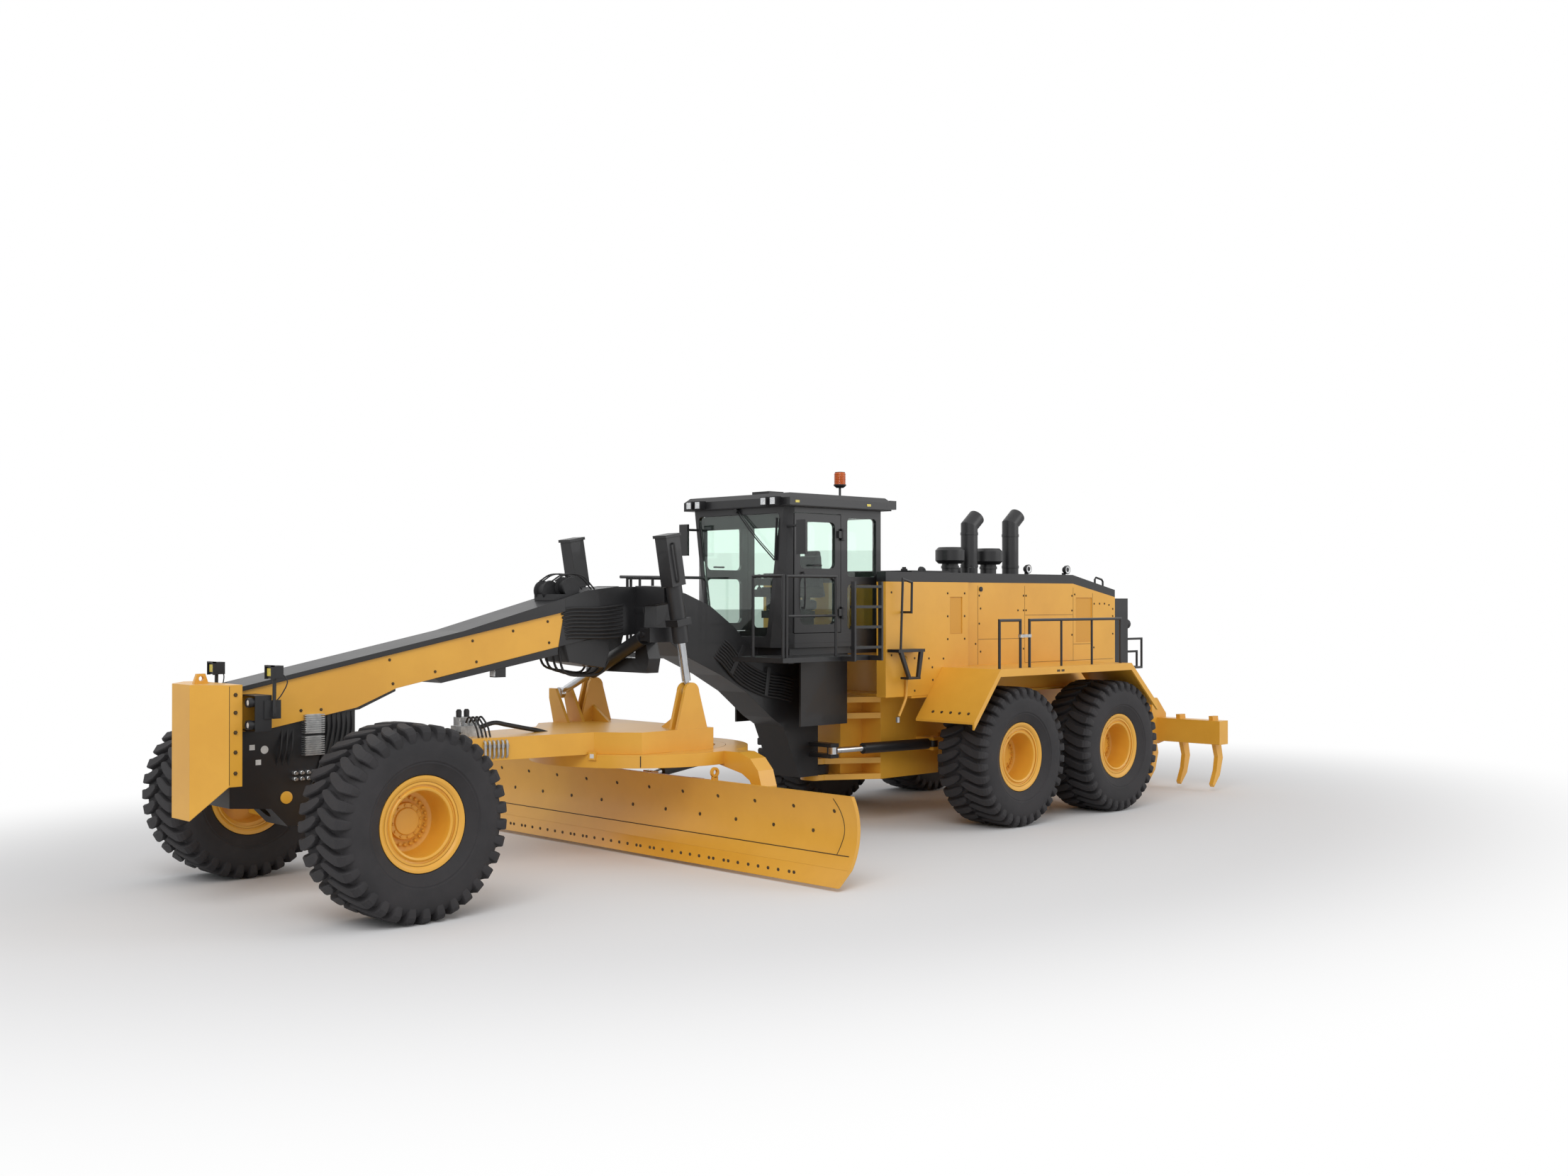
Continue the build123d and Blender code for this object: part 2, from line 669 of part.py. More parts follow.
def cab_roof():
    """The roof slab with its bevelled rim."""
    body = block((-roof_half, roof_half), (roof_front, roof_rear), (cab_top, roof_top))
    body = chamfer(body.faces().sort_by(Axis.Z)[-1].edges(), 60)
    return body + block((-160, 160), (6300, 6560), (roof_top - 5, roof_top + 70))


def seat():
    """The operator's seat: cushion, back and head rest."""
    cushion = block((-260, 260), (6620, 7120), (2878.3, 3020))
    back = side(((7060, 3020.3), (7180, 3020.3), (7300, 3700), (7190, 3700)), -250, 250)
    return cushion, back


def console():
    """The seat's pedestal with an arm console each side."""
    body = block((-200, 200), (6660, 7080), (cab_floor + cab_wall, 2878))
    for way in (-1, 1):
        reach = (way * 270, way * 400)
        body += block((min(reach), max(reach)), (6560, 7050), (3060, 3160))
        reach = (way * 150, way * 400)
        body += block((min(reach), max(reach)), (6700, 6900), (2780, 2878))
        reach = (way * 300, way * 370)
        body += block((min(reach), max(reach)), (6760, 6840), (2800, 3065))
    return body


def cab_base():
    """The platform under and around the cab, with its pedestal on the gooseneck and the side skirts."""
    outline = (*neck_top[1:], (cab_rear, platform_top), (cab_rear, cab_floor), (neck_top[1][0], cab_floor))
    body = side(outline, -neck_half, neck_half)
    body += block((-850, 850), (cab_front + 90, cab_rear - 20), (platform_top, cab_floor))
    for way in (-1, 1):
        reach = (way * 620, way * platform_half)
        body += block((min(reach), max(reach)), (platform_front, platform_rear),
                      (platform_top - 60, platform_top))
        reach = (way * 560, way * 620)
        body += block((min(reach), max(reach)), (platform_front + 200, 7290), (platform_top - 60, platform_top))
        reach = (way * 590, way * 620)
        body += block((min(reach), max(reach)), (6420, 7280), (1400, platform_top))
        reach = (way * 260, way * 620)
        body += block((min(reach), max(reach)), (6200, 6300), (platform_top - 120, platform_top))
        body += block((min(reach), max(reach)), (6950, 7050), (platform_top - 120, platform_top))
    return body


def front_rails():
    """The handrails around the platform."""
    rails = []
    top, mid, foot = 3310, 2830, platform_top
    for way in (-1, 1):
        x = way * (platform_half - 30)
        y = platform_front + 30
        rails.append(pipe([(way * 950, y, foot), (way * 950, y, top), (x, y, top), (x, y, foot)], 19))
        rails.append(pipe([(x, y + 60, foot), (x, y + 60, top), (x, 6180, top), (x, 6180, foot)], 19))
        rails.append(pipe([(x, y + 79, mid), (x, 6161, mid)], 16))
    return rails


def ladder():
    """The stowed boarding ladder at the left edge of the platform."""
    x, y0, y1, foot, top = 1700, 6250, 6770, platform_top - 60, 3250
    body = block((x - 40, x + 20), (y0, y0 + 30), (foot, top)) + block((x - 40, x + 20), (y1 - 30, y1), (foot, top))
    for k in range(4):
        z = foot + 150 + 250 * k
        body += block((x - 80, x + 20), (y0 + 25, y1 - 25), (z, z + 35))
    for y in (y0, y1 - 30):
        body += block((platform_half, x), (y, y + 30), (platform_top - 60, platform_top))
    return body


def hanging_step():
    """The step and grab rail at the left front corner of the tank module."""
    x0, x1, top = tank_half, tank_half + 200, 2380
    body = block((x0, x1), (7480, 8000), (top - 40, top))
    for y0, y1 in ((7540, 7700), (7940, 7880)):
        body += side(((y0 - 30, top - 35), (y0 + 30, top - 35), (y1 + 25, 2010), (y1 - 25, 2010)), x1 - 40, x1)
    body += block((x0 + 60, x1), (7670, 7910), (1985, 2015))
    x = x1 - 20
    return body + pipe([(x, 7540, top), (x, 7580, 3290), (x, 7760, 3250), (x, 7750, 2860), (x0, 7750, 2860)], 16)


def tail_rails():
    """The two handrail hoops behind the left fender."""
    y0, y1, foot = hood_tail + tail_thickness, 13620, 1960
    hoops = []
    for x, top, y in ((860, 2205, y1 + 80), (1000, 2410, y1)):
        hoops.append(pipe([(x, y0, top), (x, y, top), (x, y, foot), (x, y0, foot)], 18))
    return hoops


def lamps():
    """Headlamps in their boxes beside the boom, marker lamps, roof lamps, the beacon and the mirrors."""
    pieces = []
    y0, y1, z0, z1 = nose_back + 80, -780, 1760, 2110
    for way in (-1, 1):
        wall = block((boom_half, 600), (y0, y1), (z0, z1)) - block((boom_half - 5, 588), (y0 - 5, y1 - 12),
                                                                 (z0 + 12, z1 - 12))
        for z in (z0 + 67, z1 - 67):
            wall += disc((550, y0 + 20, z), 42, 130, "Y") + block((545, 595), (y0 + 30, y0 + 60), (z - 12, z + 12))
        wall += block((595, 612), (-860, -690), (1880, 2060))
        wall += bar((625, -770, 1930), (625, -765, 2290), 18) + block((605, 640), (-790, -745), (1900, 1990))
        wall += block((560, 690), (-815, -705), (2270, 2395))
        pieces.append(wall if way > 0 else other(wall))
        for x in (620, 790):
            lamp = block((way * x - 55, way * x + 55), (roof_front - 95, roof_front), (4200, 4310))
            pieces.append(lamp)
    pieces.append(block((870, 980), (roof_rear, roof_rear + 120), (4215, 4330)))
    beacon = bar((300, 7480, roof_top), (300, 7480, 4570), 16)
    pieces.append(beacon + bar((300, 7480, 4560), (300, 7480, 4730), 68))
    arm = bar((854.5, 5963, 3940), (1330, 5710, 3940), 16)
    pieces.append(arm + block((1270, 1430), (5690, 5725), (3580, 4000)))
    arm = bar((-785, 5896, 3940), (-830, 5710, 3940), 16)
    pieces.append(arm + block((-910, -750), (5690, 5725), (3600, 4010)))
    return pieces


def rear_frame():
    """The rear frame: hitch forks and pin, belly, main box, deck and the ripper's brackets."""
    body = block((-frame_half, frame_half), (frame_front, frame_rear), (frame_bottom, hood_bottom))
    low, high = hitch_levels
    foot = low - seat_gap - hitch_fork
    body += block((-frame_half, frame_half), (frame_front, belly_rear), (foot, frame_bottom))
    rear_y = pivot_y + hitch_radius + 50
    fork = ((-hitch_radius, pivot_y), (hitch_radius, pivot_y), (frame_half, frame_front + 5),
            (-frame_half, frame_front + 5))
    for base in (low, high):
        for z in (base - seat_gap - hitch_fork, base + hitch_lug + seat_gap):
            body += plan(fork, z, z + hitch_fork)
            body += Pos(0, pivot_y, z + hitch_fork / 2) * Cylinder(hitch_radius, hitch_fork)
    top = high + hitch_lug + seat_gap + hitch_fork
    body += block((-hitch_radius - 60, hitch_radius + 60), (rear_y, frame_front + 5), (foot, top))
    for base in (low, high):
        z0 = base - seat_gap - hitch_fork - 15
        z1 = base + hitch_lug + seat_gap + hitch_fork + 15
        body += bar((0, pivot_y, z0), (0, pivot_y, z1), hitch_pin_radius)
    body += block((-deck_half, deck_half), (frame_front, frame_rear), (hood_bottom - 30, hood_bottom))
    body += block((-900, 900), (frame_rear - 60, frame_rear), (900, hood_bottom))
    x, y, z = bend_pivot
    for way in (-1, 1):
        reach = (way * (frame_half - 5), way * (x + 80))
        for base in (z - 45 - ear_thickness, z + 45):
            body += block((min(reach), max(reach)), (y - 75, y + 150), (base, base + ear_thickness))
        body += disc((way * x, y, z), eye_pin, 90 + 2 * ear_thickness + 30, "Z")
        for inner in (ripper_link_x - 35 - ear_play - ear_thickness, ripper_link_x + 35 + ear_play):
            reach = (way * inner, way * (inner + ear_thickness))
            body += side(((frame_rear - 10, 700), (ripper_pin_y + 60, 740), (ripper_pin_y + 90, 1330),
                          (ripper_pin_y + 60, 1420), (frame_rear - 10, 1700)), min(reach), max(reach))
        ends = (way * (ripper_link_x - 60), way * (ripper_link_x + 60))
        for level in (ripper_low_z, ripper_high_z):
            body += bar((ends[0], ripper_pin_y, level), (ends[1], ripper_pin_y, level), 40)
        body += disc((way * raise_pivot[0], *raise_pivot[1:]), eye_pin, ear_gap + 2 * ear_thickness + 30, "X")
        for inner in (raise_pivot[0] - ear_gap / 2 - ear_thickness, raise_pivot[0] + ear_gap / 2):
            reach = (way * inner, way * (inner + ear_thickness))
            body += side(((frame_rear - 10, 1500), (raise_pivot[1] - 70, 1760), (raise_pivot[1] + 50, 1810),
                          (raise_pivot[1] + 50, 1900), (frame_rear + 130, 1900), (frame_rear + 130, 1760),
                          (frame_rear - 10, 1745)), min(reach), max(reach))
    return body


def rear_axle():
    """The rear axle housing across the frame, with a pad under each frame rail."""
    body = bar((-tandem_inner, tandem_centre, axle_height), (tandem_inner, tandem_centre, axle_height),
               axle_case_radius - 20)
    for way in (-1, 1):
        reach = (way * 420, way * 590)
        body += block((min(reach), max(reach)), (tandem_centre - 200, tandem_centre + 200),
                      (axle_height, frame_bottom))
    return body


def tandem(way):
    """One tandem case with the hub and stub of both its wheels."""
    ends = (way * tandem_inner, way * tandem_outer)
    x0, x1 = min(ends), max(ends)
    body = block((x0, x1), (tandem_front, tandem_rear), (axle_height - tandem_radius, axle_height + tandem_radius))
    inner = wheel_x + disc_inner
    for y in (tandem_front, tandem_rear):
        body += bar((x0, y, axle_height), (x1, y, axle_height), tandem_radius)
        body += bar((ends[1], y, axle_height), (way * (inner - 5), y, axle_height), hub_radius)
        body += bar((ends[1], y, axle_height), (way * (inner + disc_thickness), y, axle_height), stub_radius)
    return body


def tank_module():
    """The front module behind the cab, hollowed by an arc so that the cab swings clear."""
    body = block((-tank_half, tank_half), (tank_front, hood_split - 30), (hood_bottom, hood_top))
    body = chamfer(body.edges().filter_by(Axis.Z).group_by(Axis.Y)[-1], 80)
    for way in (-1, 1):
        reach = (way * (tank_half - 15), way * (tank_half + 10))
        body -= block((min(reach), max(reach)), (8750, 9010), (2560, 3060))
    return body - Pos(0, pivot_y, hood_top) * Cylinder(cab_swing, 4000)


def hood():
    """The engine hood: a shell with a sloping tail, a recessed vent in both sides and an open bottom."""
    outline = ((hood_split, hood_bottom), (hood_split, hood_top), (hood_bend, hood_top),
               (hood_tail, hood_tail_top), (hood_tail, hood_bottom))
    body = side(outline, -hood_half, hood_half)
    inner = ((hood_split + hood_wall, hood_bottom - 10), (hood_split + hood_wall, hood_top - hood_wall),
             (hood_bend, hood_top - hood_wall), (hood_tail - hood_wall, hood_tail_top - hood_wall),
             (hood_tail - hood_wall, hood_bottom - 10))
    body -= side(inner, hood_wall - hood_half, hood_half - hood_wall)
    for way in (-1, 1):
        reach = (way * (hood_half - 15), way * (hood_half + 10))
        body -= block((min(reach), max(reach)), (11780, 12190), (2390, 3050))
    return body


def hood_cover():
    """The black roof over tank module and hood, with its front cut to the same arc."""
    thick = cover_thickness
    outline = ((tank_front, hood_top), (hood_bend, hood_top), (hood_tail, hood_tail_top),
               (hood_tail, hood_tail_top + thick - 20), (hood_bend, hood_top + thick),
               (tank_front, hood_top + thick))
    body = side(outline, -hood_half, hood_half)
    body += block((-tank_half, tank_half), (tank_front, hood_split - 30), (hood_top, hood_top + thick))
    return body - Pos(0, pivot_y, hood_top) * Cylinder(cab_swing, 4000)


def tail_grille():
    """The black rear end of the hood."""
    y0, y1 = hood_tail, hood_tail + tail_thickness
    body = block((-hood_half + 20, hood_half - 20), (y0, y1), (1950, hood_tail_top - 20))
    for k in range(7):
        z = 2150 + 110 * k
        body -= block((-700, 700), (y1 - 40, y1 + 10), (z, z + 55))
    return body


def exhaust(y, top):
    """One exhaust stack with a mitred elbow."""
    base = hood_top + cover_thickness
    return pipe([(0, y, base), (0, y, top - 230), (0, y + 170, top - 90)], stack_radius)


def intake(y):
    """One air intake: a neck and a broad cap."""
    base = hood_top + cover_thickness
    body = bar((0, y, base), (0, y, intake_top - 150), 120)
    cap = bar((0, y, intake_top - 240), (0, y, intake_top), 215)
    return body + chamfer(cap.edges().filter_by(GeomType.CIRCLE), 45)


def fender():
    """The left fender over both tandem wheels, with its outer lip and an inner strip to the hood."""
    points = list(fender_points)
    lifted = [(y, z + fender_sheet) for y, z in points]
    body = side(points + lifted[::-1], tank_half, fender_outer)
    lowered = [(y, z - fender_lip) for y, z in points]
    body += side(lowered + lifted[::-1], fender_outer - fender_sheet, fender_outer)
    return body + block((hood_half, tank_half + 10), (hood_split, points[2][0]),
                        (points[2][1] - 10, points[2][1] + fender_sheet - 10))


def fender_rail():
    """The handrails on top of the left fender."""
    x, foot, top = fender_outer - 110, fender_points[1][1] + fender_sheet, 2750
    rails = [pipe([(x, 8700, foot), (x, 8700, top), (x, 9150, top), (x, 9150, foot)], 19)]
    rails.append(pipe([(x, 9350, foot), (x, 9350, top), (x, 11500, top), (x, 11500, foot)], 19))
    for y in (10070, 10790):
        rails.append(bar((x, y, foot), (x, y, top - 19), 16))
    return rails


def engine():
    """The engine, as one plain block on the frame."""
    return block((-480, 480), (9700, 12300), (hood_bottom, 2900))


def ripper_link_bar(way, level):
    """One link of the ripper's parallel linkage, bored for its front pin."""
    x = way * ripper_link_x
    y0, y1 = ripper_pin_y, ripper_pin_y + ripper_link
    body = block((x - 35, x + 35), (y0, y1), (level - 55, level + 55))
    for y in (y0, y1):
        body += disc((x, y, level), 80, 70, "X")
    for y in (y0, y1):
        body -= disc((x, y, level), 40 + pin_play, 200, "X")
    return body


def ripper():
    """The ripper: the cross beam, the carriage plates on the links' pins, and the curved shanks."""
    y = ripper_pin_y + ripper_link
    beam = block((-ripper_half, ripper_half), (y + 80, y + 330), (750, 1120))
    for way in (-1, 1):
        for inner in (ripper_link_x - 35 - ear_play - ear_thickness, ripper_link_x + 35 + ear_play):
            reach = (way * inner, way * (inner + ear_thickness))
            beam += side(((y - 70, 760), (y + 120, 700), (y + 340, 740), (y + 340, 1180), (y + 80, 1440),
                          (y - 70, 1440)), min(reach), max(reach))
        ends = (way * (ripper_link_x - 60), way * (ripper_link_x + 60))
        beam += bar((ends[0], y, ripper_low_z), (ends[1], y, ripper_low_z), 40)
        beam += bar((ends[0], y, ripper_high_z), (ends[1], y, ripper_high_z), 40)
        x, ey, ez = raise_eye
        for inner in (x - 35 - ear_thickness, x + 35):
            reach = (way * inner, way * (inner + ear_thickness))
            beam += side(((ey - 60, ez - 60), (y + 90, 780), (y + 90, 1080), (ey - 60, ez + 60)),
                         min(reach), max(reach))
    back = tail_reach
    shank = ((y + 120, 1190), (y + 280, 1190), (back - 90, 900), (back, 520), (back - 90, 250),
             (y + 160, 75), (y + 130, 120), (back - 190, 330), (back - 150, 540), (y + 150, 900))
    for k in range(shank_count):
        x = shank_pitch * (k - (shank_count - 1) / 2)
        beam += side(shank, x - 35, x + 35)
    return beam


tyre_shape = tyre()
wheels = (("front", 0), ("middle", tandem_front), ("rear", tandem_rear))
for name, y in wheels:
    wheel(name + "_left", wheel_x, y, 1)
    wheel(name + "_right", -wheel_x, y, -1)

send("boom", boom(), nose_block())
send("boom_cover", boom_cover())
send("gooseneck", gooseneck(), bolster())
send("saddle", saddle())
send("front_axle", front_axle())
send("knuckle_left", knuckle(1))
send("knuckle_right", knuckle(-1))
send("tie_rod", tie_rod())

send("drawbar", drawbar(), *circle_guide())
send("circle", circle())
send("blade_carrier", carrier())
send("moldboard", moldboard())
send("cutting_edge", cutting_edge())

barrel, rod = cylinder(lift_pivot, lift_eye, 95, 52, 700, 560, 750, (70, ear_gap - 2 * ear_play, "X"))
barrel += bar((lift_pivot[0] - 190, *lift_pivot[1:]), (lift_pivot[0] - 70, *lift_pivot[1:]), 40)
send("lift_barrel_left", barrel)
send("lift_barrel_right", other(barrel))
send("lift_rod_left", rod)
send("lift_rod_right", other(rod))
barrel, rod = cylinder(shift_pivot, shift_eye, 85, 48, -100, 1150, 850, (68, 60, "Y"),
                       (80, ear_gap - 2 * ear_play, "Y"))
send("shift_barrel", barrel)
send("shift_rod", rod)
barrel, rod = cylinder(tip_pivot, tip_eye, 65, 35, -90, 700, 400, (55, 2 * (40 - ear_play), "X"),
                       (60, 2 * (40 - ear_play), "X"))
send("tip_barrel", barrel)
send("tip_rod", rod)
barrel, rod = cylinder(bend_pivot, bend_eye, 72, 40, -100, 1250, 780, (70, 90 - 2 * ear_play, "Z"),
                       (72, 90 - 2 * ear_play, "Z"))
send("bend_barrel_left", barrel)
send("bend_barrel_right", other(barrel))
send("bend_rod_left", rod)
send("bend_rod_right", other(rod))
barrel, rod = cylinder(raise_pivot, raise_eye, 62, 34, -90, 730, 350, (55, ear_gap - 2 * ear_play, "X"),
                       (60, ear_gap - 2 * ear_play, "X"))
send("ripper_barrels", barrel, other(barrel))
send("ripper_rods", rod, other(rod))

shell, glass, door, door_glass = cab_parts()
fixed, moving = door_hinges()
ends, left, post = cab_frames(shell)
post += fixed
door += moving
send("cab_shell", *ends, *left, post, *[other(shape) for shape in (*left, post)], cab_roof())
send("cab_glass", *glass)
send("door_left", door)
send("door_right", other(door))
send("door_glass_left", *door_glass)
send("door_glass_right", *[other(pane) for pane in door_glass])
send("seat", *seat())
send("cab_base", cab_base(), console())
send("front_rails", *front_rails(), ladder())
send("lamps", *lamps())

send("rear_frame", rear_frame())
send("tandems", rear_axle(), tandem(1), tandem(-1))
send("hood", hood(), tank_module())
send("hood_cover", hood_cover(), tail_grille())
send("engine", engine())
send("stacks", *[exhaust(y, top) for y, top in stack_places], *[intake(y) for y in intake_places])
send("fenders", fender(), other(fender()))
rails = fender_rail() + tail_rails()
send("fender_rails", hanging_step(), *rails, *[other(rail) for rail in rails])
send("ripper_low_links", ripper_link_bar(1, ripper_low_z), ripper_link_bar(-1, ripper_low_z))
send("ripper_high_links", ripper_link_bar(1, ripper_high_z), ripper_link_bar(-1, ripper_high_z))
send("ripper", ripper())
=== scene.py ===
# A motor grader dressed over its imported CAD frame. Metres, +Z up; it drives towards -Y, +X is its left side.
# Places below are measured back from the front axle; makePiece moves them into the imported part's frame.
import math
import bmesh
import bpy
import numpy as np
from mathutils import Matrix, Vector


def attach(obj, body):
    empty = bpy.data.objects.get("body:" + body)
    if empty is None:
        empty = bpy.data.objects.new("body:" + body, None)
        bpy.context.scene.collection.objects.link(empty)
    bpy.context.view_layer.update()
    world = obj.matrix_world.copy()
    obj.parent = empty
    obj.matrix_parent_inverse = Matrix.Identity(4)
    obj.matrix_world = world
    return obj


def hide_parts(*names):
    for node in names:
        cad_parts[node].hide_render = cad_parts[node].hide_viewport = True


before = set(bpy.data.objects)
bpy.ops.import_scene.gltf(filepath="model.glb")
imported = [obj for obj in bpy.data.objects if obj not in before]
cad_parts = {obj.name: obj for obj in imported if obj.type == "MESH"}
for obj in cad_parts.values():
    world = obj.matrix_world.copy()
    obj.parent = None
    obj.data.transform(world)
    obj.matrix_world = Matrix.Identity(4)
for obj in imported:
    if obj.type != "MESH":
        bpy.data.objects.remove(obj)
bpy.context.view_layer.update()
scene = bpy.context.scene
axleShift = np.array([0.0, -6.636, 0.0])
print("frame loaded:", len(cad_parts), "nodes")


def linearColour(code, alpha=1.0):
    # each sRGB channel c turns linear as ((c + 0.055) / 1.055) ** 2.4, or c / 12.92 when dark
    c = np.array([int(code[k:k + 2], 16) for k in (1, 3, 5)]) / 255
    lin = np.where(c > 0.04045, ((c + 0.055) / 1.055) ** 2.4, c / 12.92)
    return (*lin.tolist(), alpha)


def addNode(tree, kind, settings=None, links=None):
    # settings go to inputs by name or index, or to the node's own fields; links give input -> output socket
    made = tree.nodes.new(kind)
    for key, value in (settings or {}).items():
        if isinstance(key, int) or key in made.inputs:
            made.inputs[key].default_value = value
        else:
            setattr(made, key, value)
    for key, source in (links or {}).items():
        tree.links.new(source, made.inputs[key])
    return made


def newMaterial(name, code, roughness, **sockets):
    material = bpy.data.materials.new(name)
    material.use_nodes = True
    tree = material.node_tree
    shader = tree.nodes["Principled BSDF"]
    shader.inputs["Base Color"].default_value = linearColour(code)
    shader.inputs["Roughness"].default_value = roughness
    for key, value in sockets.items():
        shader.inputs[key.replace("_", " ")].default_value = value
    material.diffuse_color = linearColour(code)
    return material, tree, shader


def mottled(tree, shader, look):
    # colour and roughness drift with a soft noise of look["drift"] per metre
    # a fine grain of look["grain"] per metre lifts the surface a little
    place = addNode(tree, "ShaderNodeTexCoord")
    soft = addNode(tree, "ShaderNodeTexNoise", {"Scale": look["drift"], "Detail": 5.0, "Roughness": 0.6},
                   {"Vector": place.outputs["Object"]})
    ramp = addNode(tree, "ShaderNodeValToRGB", links={"Fac": soft.outputs["Fac"]})
    for element, where, code in zip(ramp.color_ramp.elements, (0.35, 0.65), (look["dark"], look["light"])):
        element.position, element.color = where, linearColour(code)
    tree.links.new(ramp.outputs["Color"], shader.inputs["Base Color"])
    rough = addNode(tree, "ShaderNodeMapRange", {3: look["rough"][0], 4: look["rough"][1]},
                    {"Value": soft.outputs["Fac"]})
    tree.links.new(rough.outputs["Result"], shader.inputs["Roughness"])
    grain = addNode(tree, "ShaderNodeTexNoise", {"Scale": look["grain"], "Detail": 3.0},
                    {"Vector": place.outputs["Object"]})
    lift = addNode(tree, "ShaderNodeBump", {"Strength": look["bump"], "Distance": 0.002},
                   {"Height": grain.outputs["Fac"]})
    if look.get("edge"):
        edge = addNode(tree, "ShaderNodeBevel", {"samples": 4, "Radius": look["edge"]})
        tree.links.new(edge.outputs["Normal"], lift.inputs["Normal"])
    tree.links.new(lift.outputs["Normal"], shader.inputs["Normal"])
    return place, ramp


# alkyd machine enamel on pressed and welded plate: even colour, soft sheen, orange peel of about 3 mm
yellowEnamel, tree, shader = newMaterial("yellowEnamel", "#E4A83C", 0.42, Coat_Weight=0.3)
shader.inputs["Coat Roughness"].default_value = 0.22
mottled(tree, shader, {"dark": "#E0A436", "light": "#E8AD3C", "drift": 1.3, "rough": (0.36, 0.48),
                       "grain": 320.0, "bump": 0.1, "edge": 0.007})

# satin black machine enamel, a little dusty: its edges catch the light
blackEnamel, tree, shader = newMaterial("blackEnamel", "#19191B", 0.45, Coat_Weight=0.15)
mottled(tree, shader, {"dark": "#171719", "light": "#202022", "drift": 1.7, "rough": (0.38, 0.52),
                       "grain": 280.0, "bump": 0.12, "edge": 0.007})

# moulded tyre rubber: matt carbon black with a grain of about 1.5 mm and a dusty bloom
tyreRubber, tree, shader = newMaterial("tyreRubber", "#2B292B", 0.74, Specular_IOR_Level=0.4)
mottled(tree, shader, {"dark": "#272628", "light": "#333133", "drift": 2.6, "rough": (0.64, 0.82),
                       "grain": 620.0, "bump": 0.3, "edge": 0.006})

# green-tinted laminated cab glass: clear, the tint deepest where four surfaces lie behind each other
cabGlass, tree, shader = newMaterial("cabGlass", "#EBFAF2", 0.0, Transmission_Weight=1.0, IOR=1.45)
place = addNode(tree, "ShaderNodeTexCoord")
tint = addNode(tree, "ShaderNodeTexNoise", {"Scale": 0.8, "Detail": 1.0},
               {"Vector": place.outputs["Object"]})
tintRamp = addNode(tree, "ShaderNodeValToRGB", links={"Fac": tint.outputs["Fac"]})
tintRamp.color_ramp.elements[0].color = linearColour("#E7F8EF")
tintRamp.color_ramp.elements[1].color = linearColour("#EEFBF4")
tree.links.new(tintRamp.outputs["Color"], shader.inputs["Base Color"])

# hard chromed steel rod, ground bright, with faint grinding marks
chromedSteel, tree, shader = newMaterial("chromedSteel", "#C9CBCE", 0.18, Metallic=1.0)
mottled(tree, shader, {"dark": "#C4C6C9", "light": "#D0D2D4", "drift": 9.0, "rough": (0.14, 0.24),
                       "grain": 160.0, "bump": 0.03})

# zinc-plated steel fittings and couplers: pale grey, slightly cloudy
zincPlate, tree, shader = newMaterial("zincPlate", "#B9BABA", 0.4, Metallic=0.85)
mottled(tree, shader, {"dark": "#A9AAAB", "light": "#C8C9C8", "drift": 22.0, "rough": (0.3, 0.46),
                       "grain": 240.0, "bump": 0.1})

# bolt heads, seam strips and hole patches, brown-black and matt: the hood and boom bolts are dark of their
# own, but on the blade this dark is painted shade for the recesses round its yellow plough bolts, and on the
# seam strips and hole patches it is painted shade in the gaps and holes
boltsAndPaintedShade, tree, shader = newMaterial("boltsAndPaintedShade", "#4B3A22", 0.6, Metallic=0.3)
mottled(tree, shader, {"dark": "#3E3020", "light": "#5E4A2A", "drift": 18.0, "rough": (0.5, 0.7),
                       "grain": 300.0, "bump": 0.2})

# extruded rubber of hoses, seals and wiper blades: dull black with a fabric grain of about 2 mm; the thin
# strips along the nose and circle seams use it as painted shade of their gaps
hoseRubber, tree, shader = newMaterial("hoseRubber", "#1B1B1C", 0.6, Specular_IOR_Level=0.45)
mottled(tree, shader, {"dark": "#18181A", "light": "#232324", "drift": 8.0, "rough": (0.5, 0.68),
                       "grain": 500.0, "bump": 0.25})

# glass-filled black polyamide of lamp housings, mirrors and levers: fine spark texture
blackPolyamide, tree, shader = newMaterial("blackPolyamide", "#1F1F21", 0.55)
mottled(tree, shader, {"dark": "#1C1C1E", "light": "#262628", "drift": 6.0, "rough": (0.48, 0.62),
                       "grain": 700.0, "bump": 0.2})

# amber polycarbonate beacon dome, lit through
amberLens, tree, shader = newMaterial("amberLens", "#F26A12", 0.12, Transmission_Weight=0.35, IOR=1.5)
mottled(tree, shader, {"dark": "#EE6410", "light": "#F87A22", "drift": 12.0, "rough": (0.08, 0.18),
                       "grain": 90.0, "bump": 0.1})

# frosted clear polycarbonate lenses of the roof and work lamps over a bright reflector
clearLens, tree, shader = newMaterial("clearLens", "#EDF0F2", 0.16, Coat_Weight=0.6)
mottled(tree, shader, {"dark": "#C9CED2", "light": "#F7F9FA", "drift": 60.0, "rough": (0.08, 0.25),
                       "grain": 260.0, "bump": 0.3})

# yellow acrylic lenses and reflex reflectors with a prism grain of 3 mm
yellowLens, tree, shader = newMaterial("yellowLens", "#D8C22A", 0.2, Coat_Weight=0.5)
mottled(tree, shader, {"dark": "#C8B020", "light": "#E6D23A", "drift": 40.0, "rough": (0.12, 0.28),
                       "grain": 330.0, "bump": 0.4})

# polyester film of the bare label plates: white, slightly glossy
labelFilm, tree, shader = newMaterial("labelFilm", "#D9D9D6", 0.4)
mottled(tree, shader, {"dark": "#D2D2CF", "light": "#E0E0DE", "drift": 15.0, "rough": (0.34, 0.46),
                       "grain": 400.0, "bump": 0.03})

# woven polyester seat cloth: charcoal, threads 1.2 mm apart
seatCloth, tree, shader = newMaterial("seatCloth", "#3B3D40", 0.9, Sheen_Weight=0.3)
place, ramp = mottled(tree, shader, {"dark": "#35373A", "light": "#44464A", "drift": 5.0,
                                     "rough": (0.84, 0.95), "grain": 830.0, "bump": 0.5})
